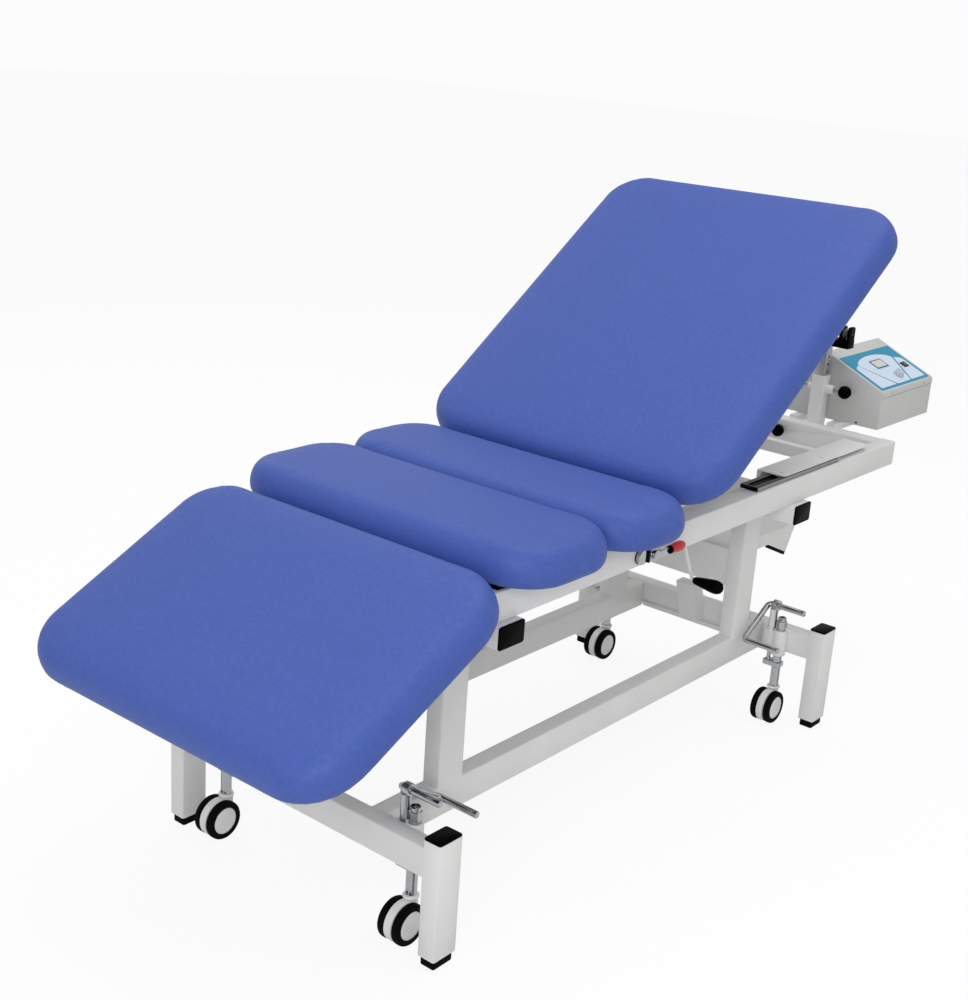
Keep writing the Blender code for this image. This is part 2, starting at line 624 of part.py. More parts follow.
# Gas springs, drawn along X from the cylinder's pin and turned to reach the lug
def gas_spring(name, anchor, hinge, tilt, lug, cylinder_length, rod_length):
    reach_x = hinge[0] + lug[0] * math.cos(tilt) - lug[1] * math.sin(tilt) - anchor[0]
    reach_z = hinge[2] + lug[0] * math.sin(tilt) + lug[1] * math.cos(tilt) - anchor[1]
    length = math.hypot(reach_x, reach_z)
    slope = math.atan2(reach_z, reach_x)
    cylinder = turned(name + "_cylinder", ((0.006, 0.008), (CYL_R, 0.014), (CYL_R, cylinder_length - 0.004),
                                           (CYL_R - 0.002, cylinder_length)), along="x", sides=14)
    weld(cylinder, rod("eye", (0, -LUG_IN + 0.001, 0), (0, LUG_IN - 0.001, 0), 0.0115, 16),
         rod("pin", (0, -LUG_IN - LUG_T - 0.002, 0), (0, LUG_IN + LUG_T + 0.002, 0), PIN_R, 10))
    bore(cylinder, rod("rod bore", (0.035, 0, 0), (cylinder_length + 0.01, 0, 0), SPRING_ROD_R + 0.0005, 12))
    finish(cylinder, BLACK)
    piston = rod(name + "_rod", (length - rod_length, 0, 0), (length - 0.004, 0, 0), SPRING_ROD_R, 12)
    weld(piston, rod("eye", (length, -0.007, 0), (length, 0.007, 0), 0.008, 14))
    finish(piston, CHROME)
    for piece in (cylinder, piston):
        hung_on(piece, (anchor[0], 0.0, anchor[1]), slope)


gas_spring("back_spring", (x_at(BACK_ANCHOR[0]), BACK_ANCHOR[1]), back_hinge, BACK_TILT, BACK_LUG, BACK_CYL_LEN,
           BACK_ROD_LEN)
gas_spring("leg_spring", (x_at(LEG_ANCHOR[0]), LEG_ANCHOR[1]), leg_hinge, LEG_TILT, LEG_LUG, LEG_CYL_LEN,
           LEG_ROD_LEN)


# Castors: sliding stem with its lift rod, swivelling hood, and a pair of wheels on one axle
def castor(side, sign, end, stem_x):
    tag = "%s_%s" % (side, end)
    y = sign * STEM_Y
    collar_z = BEAM_TOP + GAP + CASTOR_DROP
    stem = rod("castor_stem_" + tag, (stem_x, y, STEM_FOOT_Z), (stem_x, y, collar_z + 0.024), STEM_R, 18)
    collar = rod("collar", (stem_x, y, collar_z), (stem_x, y, collar_z + 0.016), 0.0135, 6)
    spigot = rod("spigot", (stem_x, y, STEM_FOOT_Z - 0.030), (stem_x, y, STEM_FOOT_Z + 0.005), 0.005, 12)
    clamp_y = sorted((sign * (JACK_Y - 0.009), sign * (STEM_Y + 0.013)))
    clamp = box("clamp", (stem_x - 0.012, clamp_y[0], LIFT_ARM_Z), (stem_x + 0.012, clamp_y[1], LIFT_ARM_Z + LIFT_ARM_H))
    lift = rod("lift", (stem_x, sign * JACK_Y, LIFT_ARM_Z + 0.004), (stem_x, sign * JACK_Y, 0.235), LIFT_ROD_R, 10)
    weld(stem, collar, spigot, clamp, lift)
    origin_at(finish(stem, CHROME), (stem_x, y, STEM_FOOT_Z))

    axle_x = stem_x - TRAIL
    axle_z = WHEEL_R + WHEEL_LIFT
    plate = WHEEL_GAP / 2 - 0.0006
    disc = WHEEL_R - 0.0015
    hood = turned("castor_hood_" + tag, ((disc - 0.003, -plate), (disc, -plate + 0.002), (disc, plate - 0.002),
                                         (disc - 0.003, plate)), (axle_x, y, axle_z), "y", 18)
    tyre_top = axle_z + WHEEL_R
    neck = box("neck", (axle_x - 0.006, y - plate, axle_z + 0.010), (stem_x + 0.011, y + plate, tyre_top - 0.001))
    boss = turned("boss", ((0.009, tyre_top - 0.011), (0.009, tyre_top - 0.0005), (0.013, tyre_top + 0.0005),
                           (0.013, STEM_FOOT_Z - 0.002), (0.012, STEM_FOOT_Z - GAP)), (stem_x, y, 0), "z", 16)
    weld(hood, neck, boss)
    bore(hood, rod("spigot bore", (stem_x, y, STEM_FOOT_Z - 0.031), (stem_x, y, STEM_FOOT_Z + 0.01), 0.0053, 16),
         rod("axle bore", (axle_x, y - 0.02, axle_z), (axle_x, y + 0.02, axle_z), 0.0043, 16))
    origin_at(finish(hood, POWDER), (stem_x, y, STEM_FOOT_Z))

    inner = WHEEL_GAP / 2
    outer = inner + TYRE_W
    wheels = rod("castor_wheels_" + tag, (axle_x, y - outer + 0.003, axle_z), (axle_x, y + outer - 0.003, axle_z), 0.004, 16)
    for way in (-1, 1):
        profile = ((WHEEL_R - 0.003, inner), (WHEEL_R, inner + 0.004), (WHEEL_R, outer - 0.004), (WHEEL_R - 0.003, outer),
                   (WHEEL_R - 0.013, outer), (WHEEL_R - 0.016, outer - 0.002))
        tyre = turned("tyre", [(r, way * h) for r, h in profile], (axle_x, y, axle_z), "y", 22)
        weld(wheels, tyre)
    origin_at(finish(wheels, RUBBER), (axle_x, y, axle_z))


# Jack levers: round bar bent to a U, its inner arm turning in the jack post's eye
def jack_lever(side, sign, end, inward, stem_x):
    far_x = stem_x + inward * LEVER_ARM * math.cos(LEVER_DROP)
    far_z = JACK_Z - LEVER_ARM * math.sin(LEVER_DROP)
    lever = bent_rod("jack_lever_%s_%s" % (side, end),
                     ((stem_x, sign * LEVER_PIVOT_OUT, JACK_Z), (stem_x, sign * LEVER_IN, JACK_Z),
                      (far_x, sign * LEVER_IN, far_z), (far_x, sign * LEVER_GRIP_OUT, far_z)), LEVER_R, LEVER_BEND)
    origin_at(finish(lever, CHROME), (stem_x, sign * LEVER_PIVOT_OUT, JACK_Z))


for end, inward in ENDS:
    stem_x = x_at(BEAM_X) + STEM_OFF if end == "foot" else x_at(LEG_PITCH) - STEM_OFF
    for side, sign in SIDES:
        castor(side, sign, end, stem_x)
        jack_lever(side, sign, end, inward, stem_x)

# Head bracket: back plate on the head rail, mast socket, plunger boss and the two console arms
mast = Vector((x_at(MAST_X), MAST_Y, 0.0))
half = MAST_SOCKET / 2
plate_x = x_at(UP_HEAD) + GAP
bracket = box("head_bracket", (plate_x, CASE_NEAR + 0.030, UP_Z + 0.006), (plate_x + 0.005, CASE_FAR - 0.010, UP_TOP - 0.002))
socket = box("socket", (plate_x + 0.0003, mast.y - half, UP_Z + 0.008), (mast.x + half, mast.y + half, SOCKET_TOP), 0.002, "z")
boss = rod("boss", (mast.x, mast.y - half - 0.022, PLUNGER_Z), (mast.x, mast.y - half + 0.002, PLUNGER_Z), 0.012, 20)
stud = rod("stud", (mast.x, mast.y + half - 0.002, PLUNGER_Z), (mast.x, mast.y + half + 0.014, PLUNGER_Z), 0.009, 16)
weld(bracket, socket, boss, stud)
for arm_y in (CASE_NEAR + 0.110, CASE_FAR - 0.045):
    weld(bracket, box("arm", (plate_x + 0.0006, arm_y - 0.0125, CASE_Z - ARM_H), (x_at(ARM_HEAD), arm_y + 0.0125, CASE_Z - GAP)))
core = MAST_TUBE / 2 + MAST_CLEAR
bore(bracket, box("core", (mast.x - core, mast.y - core, UP_Z - 0.01), (mast.x + core, mast.y + core, SOCKET_TOP + 0.01)),
     rod("plunger bore", (mast.x, mast.y - half - 0.03, PLUNGER_Z), (mast.x, mast.y, PLUNGER_Z), 0.0053, 16))
finish(bracket, POWDER)

# Mast with its row of height holes
inner = MAST_TUBE / 2
tube = box("mast_tube", (mast.x - inner, mast.y - inner, MAST_FOOT), (mast.x + inner, mast.y + inner, MAST_TOP), 0.0015, "z")
for step in range(3):
    hole_z = PLUNGER_Z + 0.042 + 0.0205 * step
    bore(tube, rod("hole", (mast.x, mast.y - 0.02, hole_z), (mast.x, mast.y + 0.02, hole_z), 0.0036, 12))
finish(tube, ZINC)

# Spring plunger with a ball knob
ball_y = mast.y - half - 0.052
plunger = rod("mast_plunger", (mast.x, mast.y - inner - 0.0006, PLUNGER_Z), (mast.x, ball_y + 0.008, PLUNGER_Z), 0.005, 16)
ball = turned("ball", [(BALL_R * math.sin(math.pi * k / 8), -BALL_R * math.cos(math.pi * k / 8)) for k in range(9)],
              (mast.x, ball_y, PLUNGER_Z), "y", 16)
origin_at(finish(weld(plunger, ball), BLACK), (mast.x, ball_y, PLUNGER_Z))

# Pulley head: a block on the mast with a fork beside it, and the sheave between its cheeks
fork = box("pulley_head", (mast.x - 0.016, SHEAVE_Y - 0.015, MAST_TOP + GAP), (mast.x + 0.016, mast.y + inner, MAST_TOP + 0.020))
for sign in (-1, 1):
    lo_y, hi_y = sorted((SHEAVE_Y + sign * 0.0075, SHEAVE_Y + sign * 0.0145))
    cheek = box("cheek", (mast.x - 0.015, lo_y, MAST_TOP + 0.010), (mast.x + 0.015, hi_y, SHEAVE_Z + 0.019), 0.006, "y")
    weld(fork, cheek)
bore(fork, rod("axle bore", (mast.x, SHEAVE_Y - 0.03, SHEAVE_Z), (mast.x, SHEAVE_Y + 0.03, SHEAVE_Z), 0.0028, 16))
finish(fork, BLACK)
sheave = turned("pulley_sheave", ((0.0024, -0.0155), (0.0024, -0.0062), (0.0135, -0.0062), (0.0135, -0.0042), (0.0100, 0.0),
                                  (0.0135, 0.0042), (0.0135, 0.0062), (0.0024, 0.0062), (0.0024, 0.0155)),
                (mast.x, SHEAVE_Y, SHEAVE_Z), "y", 20)
origin_at(finish(sheave, GREY), (mast.x, SHEAVE_Y, SHEAVE_Z))

# Clamp knob on the inner face of the head rail
knob_x = x_at(UP_HEAD) - UP_W
knob = turned("head_rail_knob", ((0.0040, 0.025), (0.0040, -GAP), (0.0090, -GAP), (0.0090, -0.006), (0.0150, -0.008),
                                 (0.0160, -0.011), (0.0160, -0.018), (0.0140, -0.022), (0.0080, -0.0235)),
              (knob_x, 0, KNOB_Z), "x", 18)
origin_at(finish(knob, BLACK), (knob_x, 0, KNOB_Z))

# Traction console: a folded case with a sloping panel, bored for the knob and cut for the switch
case = prism("console_case", ((CASE_NEAR, CASE_Z), (CASE_NEAR, CASE_NEAR_TOP), (PEAK_Y, PEAK_Z), (CASE_FAR, CASE_Z)),
             x_at(CASE_FOOT), x_at(CASE_HEAD), "x")
slope = math.atan2(PEAK_Z - CASE_NEAR_TOP, PEAK_Y - CASE_NEAR)
panel = Matrix.Translation((x_at(CASE_FOOT), CASE_NEAR, CASE_NEAR_TOP)) @ Matrix.Rotation(slope, 4, "X")
dial_at = (0.163, 0.041)
rocker_at = (0.250, 0.069)


def on_panel(obj):
    obj.data.transform(panel)
    return obj


bore(case, on_panel(rod("shaft bore", (*dial_at, -0.020), (*dial_at, 0.010), 0.0033, 16)),
     on_panel(box("slot", (rocker_at[0] - 0.0110, rocker_at[1] - 0.0075, -0.012),
                  (rocker_at[0] + 0.0110, rocker_at[1] + 0.0075, 0.010))))
finish(case, POWDER)
dial = turned("control_knob", ((0.0030, -0.018), (0.0030, 0.0006), (0.0130, 0.0006), (0.0130, 0.004), (0.0110, 0.013),
                               (0.0095, 0.014)), (*dial_at, 0), "z", 24)
origin_at(finish(on_panel(dial), GREY), panel @ Vector((*dial_at, 0)))
rocker = prism("power_switch", ((-0.0098, -0.004), (-0.0098, 0.0035), (0.0, 0.0012), (0.0098, 0.0035), (0.0098, -0.004),
                                (0.0, -0.0065)), rocker_at[1] - 0.0066, rocker_at[1] + 0.0066, "y")
rocker.data.transform(Matrix.Translation((rocker_at[0], 0, 0)))
origin_at(finish(on_panel(rocker), RED), panel @ Vector((*rocker_at, 0)))

# Lock clamp on the near rail: fixed body and a swinging lever with a red grip
face_y = -UP_OUT - GAP
clamp_x = x_at(CLAMP_X)
body = box("lock_clamp", (clamp_x - CLAMP_FOOT, face_y - CLAMP_D, CLAMP_Z - 0.013), (clamp_x + 0.016, face_y, CLAMP_Z + 0.013),
           0.003)
bore(body, rod("pin bore", (clamp_x, face_y - 0.02, CLAMP_Z), (clamp_x, face_y - 0.004, CLAMP_Z), PIN_R + PIN_CLEAR, 16))
finish(body, CHROME)
lever = rod("lock_lever", (clamp_x, face_y - 0.020, CLAMP_Z), (clamp_x, face_y - CLAMP_D - GAP, CLAMP_Z), 0.010, 16)
weld(lever, rod("pin", (clamp_x, face_y - 0.018, CLAMP_Z), (clamp_x, face_y - 0.005, CLAMP_Z), PIN_R, 16),
     box("blade", (clamp_x, face_y - 0.0195, CLAMP_Z - 0.006), (clamp_x + 0.052, face_y - CLAMP_D - 0.0008, CLAMP_Z + 0.006)),
     turned("grip", ((0.0055, 0.044), (0.0080, 0.047), (0.0105, 0.074), (0.0098, 0.090), (0.0055, 0.098)),
            (clamp_x, face_y - 0.0172, CLAMP_Z), "x", 14))
origin_at(finish(lever, RED), (clamp_x, face_y - 0.0172, CLAMP_Z))

# Release lever: bent rod hung from the carriage, its foot turned outward into a teardrop handle
start = Vector((x_at(RELEASE_X), -SIDE_BAR_Y + 0.008, RELEASE_Z))
turn_in = Vector((x_at(RELEASE_X), -RELEASE_Y, RELEASE_Z))
elbow = turn_in + Vector((0.062, 0.0, -0.116))
tip = elbow + Vector((0.0, -0.016, 0.0))
release = bent_rod("release_lever", (start, turn_in, elbow, tip), 0.004, 0.006, 12)
handle = turned("handle", ((0.0050, -0.004), (0.0070, -0.008), (0.0105, -0.034), (0.0130, -0.054), (0.0120, -0.068),
                           (0.0080, -0.075), (0.0, -0.077)), elbow, "y", 16)
origin_at(finish(weld(release, handle), BLACK), turn_in)
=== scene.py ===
"""Looks for a traction table: coated frame, vinyl cushions, lever-jacked castors and a traction console."""

import json
import math

import bmesh
import bpy
from mathutils import Matrix, Vector


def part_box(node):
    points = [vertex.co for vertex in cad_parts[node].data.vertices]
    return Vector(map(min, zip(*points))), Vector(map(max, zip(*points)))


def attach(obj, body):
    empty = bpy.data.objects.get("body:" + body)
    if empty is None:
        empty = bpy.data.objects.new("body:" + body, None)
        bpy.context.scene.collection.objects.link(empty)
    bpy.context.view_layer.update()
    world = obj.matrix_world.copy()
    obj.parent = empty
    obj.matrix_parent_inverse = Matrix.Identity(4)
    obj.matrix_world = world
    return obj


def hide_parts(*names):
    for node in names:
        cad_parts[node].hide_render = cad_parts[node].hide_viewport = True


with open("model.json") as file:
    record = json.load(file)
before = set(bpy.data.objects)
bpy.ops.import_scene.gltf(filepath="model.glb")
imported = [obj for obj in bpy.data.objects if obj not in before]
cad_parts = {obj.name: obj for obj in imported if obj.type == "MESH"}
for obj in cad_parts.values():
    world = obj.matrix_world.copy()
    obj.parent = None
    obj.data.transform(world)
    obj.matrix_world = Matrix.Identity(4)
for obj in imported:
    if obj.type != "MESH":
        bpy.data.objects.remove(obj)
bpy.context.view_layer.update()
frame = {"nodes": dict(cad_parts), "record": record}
scene = bpy.context.scene

# Studio floor, light and camera
# A pale seamless floor under large soft boxes, seen from beyond the foot end at eye height,
# as the table stands in a catalogue studio.


def linear(code):
    """sRGB hex colour as linear light."""
    parts = [int(code[i:i + 2], 16) / 255 for i in (1, 3, 5)]
    return tuple(c / 12.92 if c <= 0.04045 else ((c + 0.055) / 1.055) ** 2.4 for c in parts) + (1.0,)


def add(tree, kind, inputs, **settings):
    """Adds a node with its settings, and sets or links its inputs."""
    node = tree.nodes.new(kind)
    for name, value in settings.items():
        setattr(node, name, value)
    for name, value in inputs.items():
        if isinstance(value, bpy.types.NodeSocket):
            tree.links.new(value, node.inputs[name])
        else:
            node.inputs[name].default_value = value
    return node


camera = bpy.data.objects.new("camera", bpy.data.cameras.new("camera"))
scene.collection.objects.link(camera)
scene.camera = camera
camera.data.lens = 53.784
camera.data.shift_x = -0.0024
camera.data.shift_y = 0.0044
camera.data.clip_end = 100.0
azimuth, elevation, roll = (math.radians(a) for a in (-51.099, 18.079, 3.837))
right = Vector((math.cos(azimuth), math.sin(azimuth), 0.0))
back = Vector((math.sin(azimuth) * math.cos(elevation), -math.cos(azimuth) * math.cos(elevation),
               math.sin(elevation)))
up = back.cross(right)
columns = (right * math.cos(roll) + up * math.sin(roll), up * math.cos(roll) - right * math.sin(roll), back)
camera.matrix_world = Matrix.Translation((-2.5947, -1.7944, 1.5999)) @ Matrix(columns).transposed().to_4x4()

scene.view_settings.view_transform = "Standard"
world = bpy.data.worlds.new("studio air")
scene.world = world
world.use_nodes = True
tree = world.node_tree
tree.nodes.clear()
# Studio air: white behind the table and dimmer in what reflects it, so that chrome shows dark streaks.
rays = add(tree, "ShaderNodeLightPath", {})
clear = add(tree, "ShaderNodeMath",
            {0: rays.outputs["Is Camera Ray"], 1: rays.outputs["Is Transmission Ray"]}, operation="MAXIMUM")
glint = add(tree, "ShaderNodeMath", {0: rays.outputs["Is Glossy Ray"], 1: 0.20}, operation="MULTIPLY")
seen = add(tree, "ShaderNodeMath", {0: clear.outputs[0], 1: glint.outputs[0]}, operation="MAXIMUM")
dim = add(tree, "ShaderNodeBackground", {"Color": linear("#F8F8F7"), "Strength": 0.60})
bright = add(tree, "ShaderNodeBackground", {"Color": linear("#FCFCFC"), "Strength": 1.0})
both = add(tree, "ShaderNodeMixShader", {0: seen.outputs[0], 1: dim.outputs[0], 2: bright.outputs[0]})
add(tree, "ShaderNodeOutputWorld", {"Surface": both.outputs[0]})

studio_floor = bpy.data.materials.new("matt white vinyl floor")
studio_floor.use_nodes = True
tree = studio_floor.node_tree
tree.nodes.clear()
place = add(tree, "ShaderNodeTexCoord", {})
cloud = add(tree, "ShaderNodeTexNoise", {"Vector": place.outputs["Object"], "Scale": 0.6})
tint = add(tree, "ShaderNodeMix", {0: cloud.outputs["Fac"], 6: linear("#E3E3E3"), 7: linear("#E8E8E8")},
           data_type="RGBA")
matt = add(tree, "ShaderNodeBsdfDiffuse", {"Color": tint.outputs[2]})
glow = add(tree, "ShaderNodeEmission", {"Color": linear("#FFFFFF"), "Strength": 1.04})
rays = add(tree, "ShaderNodeLightPath", {})
glint = add(tree, "ShaderNodeMath", {0: rays.outputs["Is Glossy Ray"], 1: 0.60}, operation="MULTIPLY")
seen = add(tree, "ShaderNodeMath", {0: rays.outputs["Is Camera Ray"], 1: glint.outputs[0]},
           operation="MAXIMUM")
share = add(tree, "ShaderNodeMath", {0: seen.outputs[0], 1: 0.86}, operation="MULTIPLY")
both = add(tree, "ShaderNodeMixShader", {0: share.outputs[0], 1: matt.outputs[0], 2: glow.outputs[0]})
add(tree, "ShaderNodeOutputMaterial", {"Surface": both.outputs[0]})
bm = bmesh.new()
bmesh.ops.create_grid(bm, x_segments=1, y_segments=1, size=25.0)
mesh = bpy.data.meshes.new("studio_floor")
bm.to_mesh(mesh)
bm.free()
mesh.materials.append(studio_floor)
floor = bpy.data.objects.new("studio_floor", mesh)
scene.collection.objects.link(floor)

for name, spot, width, power in (
        ("overhead_box", (0.5, -0.3, 4.2), 3.6, 55.0), ("front_box", (-3.5, -1.9, 2.2), 1.8, 52.0),
        ("near_box", (0.6, -4.0, 2.4), 2.8, 4.0), ("far_box", (0.8, 3.8, 3.0), 2.8, 14.0)):
    lamp = bpy.data.lights.new(name, "AREA")
    lamp.size = width
    lamp.energy = power
    box = bpy.data.objects.new(name, lamp)
    box.location = spot
    box.rotation_euler = (Vector((0.0, 0.0, 0.6)) - Vector(spot)).to_track_quat("-Z", "Y").to_euler()
    scene.collection.objects.link(box)

# Welded tube frames
# The end frames, side frames, cross tubes and upper rails are cut from steel box section, welded,
# ground flush and stove-coated with satin white powder, so every edge is soft and slightly orange-peeled.


def start(name, **uniform):
    """A new material with its uniform sockets set: material, node tree, shader, object coordinates."""
    made = bpy.data.materials.new(name)
    made.use_nodes = True
    nodes = made.node_tree
    shader = nodes.nodes["Principled BSDF"]
    for socket, value in uniform.items():
        shader.inputs[socket.replace("_", " ")].default_value = value
    return made, nodes, shader, add(nodes, "ShaderNodeTexCoord", {}).outputs["Object"]


def surfaced(tree, shader, tint, tones, fine, dullness, strength=0.0, deep=0.0):
    """Lets one pattern run the colour between two tones, and a finer one the roughness and any relief."""
    shade = add(tree, "ShaderNodeMix", {0: tint, 6: linear(tones[0]), 7: linear(tones[1])},
                data_type="RGBA")
    gloss = add(tree, "ShaderNodeMapRange", {"Value": fine, "To Min": dullness[0], "To Max": dullness[1]})
    tree.links.new(shade.outputs[2], shader.inputs["Base Color"])
    tree.links.new(gloss.outputs[0], shader.inputs["Roughness"])
    if strength:
        ripple = add(tree, "ShaderNodeBump", {"Height": fine, "Strength": strength, "Distance": deep})
        tree.links.new(ripple.outputs[0], shader.inputs["Normal"])


# Epoxy powder coat: orange peel of about 3 mm and a faint unevenness of the film over about 90 mm.
powder_coat, tree, shader, place = start("satin white epoxy powder coat", IOR=1.5)
film = add(tree, "ShaderNodeTexNoise", {"Vector": place, "Scale": 1 / 0.09, "Detail": 3.0})
peel = add(tree, "ShaderNodeTexNoise", {"Vector": place, "Scale": 1 / 0.003, "Detail": 1.0})
surfaced(tree, shader, film.outputs["Fac"], ("#E0E0DF", "#EAEAE9"), peel.outputs["Fac"], (0.36, 0.48),
         0.10, 0.0004)

# Chrome plate: near-mirror, with a faint haze in patches of about 4 mm that only blurs the highlight.
chrome_plate, tree, shader, place = start("bright chrome plate", Metallic=1.0)
haze = add(tree, "ShaderNodeTexNoise", {"Vector": place, "Scale": 1 / 0.004, "Detail": 4.0})
surfaced(tree, shader, haze.outputs["Fac"], ("#A4A6A9", "#BCBEC1"), haze.outputs["Fac"], (0.06, 0.17))

body_of = {}
for body, members in frame["record"]["behaviour"]["bodies"].items():
    for member in members:
        body_of[member] = body


def settle(name, bm, looks, node, instead=True, crease=32.0):
    """Turns a mesh under work into a finished piece instead of a solid, or one that rides with it."""
    limit = math.radians(crease)
    for face in bm.faces:
        face.smooth = True
    for edge in bm.edges:
        edge.smooth = len(edge.link_faces) == 2 and edge.calc_face_angle(0.0) < limit
    made = bpy.data.meshes.new(name)
    bm.to_mesh(made)
    bm.free()
    for look in looks:
        made.materials.append(look)
    piece = bpy.data.objects.new(name, made)
    scene.collection.objects.link(piece)
    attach(piece, body_of[node])
    if instead:
        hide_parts(node)
    return piece


def eased(node, edge):
    """A welded copy of a solid with its sharp edges eased, as a mesh under work."""
    bm = bmesh.new()
    bm.from_mesh(frame["nodes"][node].data)
    bmesh.ops.remove_doubles(bm, verts=bm.verts, dist=2e-5)
    bmesh.ops.dissolve_limit(bm, angle_limit=math.radians(0.5), verts=bm.verts, edges=bm.edges)
    if edge:
        sharp = [e for e in bm.edges if len(e.link_faces) == 2 and e.calc_face_angle(0.0) > math.radians(50)]
        bmesh.ops.bevel(bm, geom=sharp, offset=edge, segments=2, profile=0.5, affect="EDGES",
                        clamp_overlap=True)
    return bm


for node, edge in (("side_frame_near", 0.0012), ("side_frame_far", 0.0012), ("cross_tube_foot", 0.001),
                   ("cross_tube_head", 0.001)):
    settle(node + "_coated", eased(node, edge), [powder_coat], node)

# The jack posts and their eyes are machined steel pressed into the end frames and chromed with the levers.
POST_Y, POST_R, BEAM_TOP = 0.229, 0.0145, 0.2345
for end in ("foot", "head"):
    node = end + "_end_frame"
    stem_x = sum(corner.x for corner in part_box("castor_stem_near_" + end)) / 2
    bm = eased(node, 0.0008)
    for face in bm.faces:
        spot = face.calc_center_median()
        on_post = math.hypot(spot.x - stem_x, abs(spot.y) - POST_Y - 0.004) < POST_R + 0.004
        face.material_index = 1 if spot.z > BEAM_TOP and on_post else 0
    settle(node + "_coated", bm, [powder_coat, chrome_plate], node)

# End caps and rubber feet
# Black polyethylene plugs close the legs and cross tubes; moulded rubber feet are pushed into the leg ends.
# Plugs have a faint moulded grain, the rubber a dusty matt one.
black_plastic, tree, shader, place = start("moulded black polyethylene", IOR=1.5, Specular_IOR_Level=0.02)
grain = add(tree, "ShaderNodeTexVoronoi", {"Vector": place, "Scale": 1 / 0.0016}).outputs["Distance"]
surfaced(tree, shader, grain, ("#020202", "#060606"), grain, (0.26, 0.42), 0.12, 0.0003)

black_rubber, tree, shader, place = start("black natural rubber", IOR=1.52, Specular_IOR_Level=0.04)
dust = add(tree, "ShaderNodeTexNoise", {"Vector": place, "Scale": 1 / 0.006, "Detail": 6.0}).outputs["Fac"]
surfaced(tree, shader, dust, ("#040404", "#0D0D0D"), dust, (0.55, 0.78), 0.10, 0.0004)


def capped(node, corner, edge, flush):
    """A moulded cap for a solid, brought out flush with its tube, with rounded corners and rim."""
    lo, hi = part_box(node)
    size = hi - lo
    thin = min(range(3), key=lambda k: size[k])
    size = Vector([size[k] + (0.0 if k == thin else 2 * flush) for k in range(3)])
    bm = bmesh.new()
    bmesh.ops.create_cube(bm, size=1.0)
    spread = Matrix.Translation((lo + hi) / 2) @ Matrix.Diagonal((*size, 1))
    bmesh.ops.transform(bm, matrix=spread, verts=bm.verts)
    corners = [e for e in bm.edges if abs((e.verts[0].co - e.verts[1].co)[thin]) > size[thin] / 2]
    bmesh.ops.bevel(bm, geom=corners, offset=corner, segments=6, profile=0.5, affect="EDGES")
    rim = [e for e in bm.edges if e.calc_face_angle(0.0) > math.radians(50)]
    bmesh.ops.bevel(bm, geom=rim, offset=edge, segments=3, profile=0.5, affect="EDGES")
    return bm


CAP_CORNER, CAP_RIM, FOOT_DRAW = 0.0055, 0.0010, 0.90
for end in ("foot", "head"):
    for side in ("near", "far"):
        for kind, flush in (("leg_cap", 0.0010), ("cross_tube_cap", 0.0005)):
            node = "%s_%s_%s" % (kind, side, end)
            bm = capped(node, CAP_CORNER, CAP_RIM, flush)
            settle(node + "_moulded", bm, [black_plastic], node)
        node = "foot_pad_%s_%s" % (side, end)
        bm = eased(node, 0.0020)
        middle = Matrix.Translation(sum(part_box(node), Vector()) / 2)
        drawn_in = middle @ Matrix.Diagonal((FOOT_DRAW, FOOT_DRAW, 1, 1)) @ middle.inverted()
        bmesh.ops.transform(bm, matrix=drawn_in, verts=bm.verts)
        settle(node + "_moulded", bm, [black_rubber], node)

# Upper frame
# Side rails and head rail of the same coated box section, welded to a hinge rod and a stiffener;
# moulded black blocks under the fixed cushions keep their boards off the rails.
RAIL_TOP = 0.6516
bm = eased("upper_frame", 0.0012)
for face in bm.faces:
    face.material_index = 1 if face.calc_center_median().z > RAIL_TOP + 0.0009 else 0
settle("upper_frame_coated", bm, [powder_coat, black_plastic], "upper_frame")

# Tray buffer
# A strip of black rubber is pushed over the slanting edge of the folded tray, where knees and trolleys
# meet it: flat, 9 mm wide, with eased edges, and as matt as the feet.
STRIP_LOW, STRIP_HIGH, STRIP_REACH = -0.0025, 0.0035, 0.0045
tray_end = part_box("side_frame_far")[1].x
snout = [Vector((tray_end + dx, -0.1545, z)) for dx, z in ((-0.134, 0.4085), (-0.040, 0.3680))]
lean = (snout[1] - snout[0]).normalized().cross(Vector((0.0, 1.0, 0.0)))
section = ((STRIP_LOW, -STRIP_REACH), (STRIP_HIGH, -STRIP_REACH), (STRIP_HIGH, STRIP_REACH),
           (STRIP_LOW, STRIP_REACH))
bm = bmesh.new()
rings = [[bm.verts.new(spot + Vector((0.0, across, 0.0)) + lean * rise) for across, rise in section]
         for spot in snout]
bm.faces.new(rings[0])
bm.faces.new(rings[1])
for k in range(4):
    m = (k + 1) % 4
    bm.faces.new((rings[0][k], rings[0][m], rings[1][m], rings[1][k]))
bmesh.ops.recalc_face_normals(bm, faces=bm.faces)
bmesh.ops.bevel(bm, geom=list(bm.edges), offset=0.001, segments=3, profile=0.5, affect="EDGES")
settle("tray_buffer", bm, [black_rubber], "side_frame_far", instead=False)

# Castors
# Twin-wheel swivel castors of the hospital kind: a white nylon hood between two rubber tyres, grey hub discs,
# on a chromed stem with a hexagon collar that slides in the end frame.

# Nylon: even and slightly waxy, with faint flow marks of about 20 mm on the hood and 8 mm on the hub discs.
white_nylon, tree, shader, place = start("moulded white nylon", IOR=1.53)
flow = add(tree, "ShaderNodeTexNoise", {"Vector": place, "Scale": 1 / 0.02, "Detail": 4.0})
surfaced(tree, shader, flow.outputs["Fac"], ("#DFE0E0", "#EAEBEA"), flow.outputs["Fac"], (0.30, 0.44))

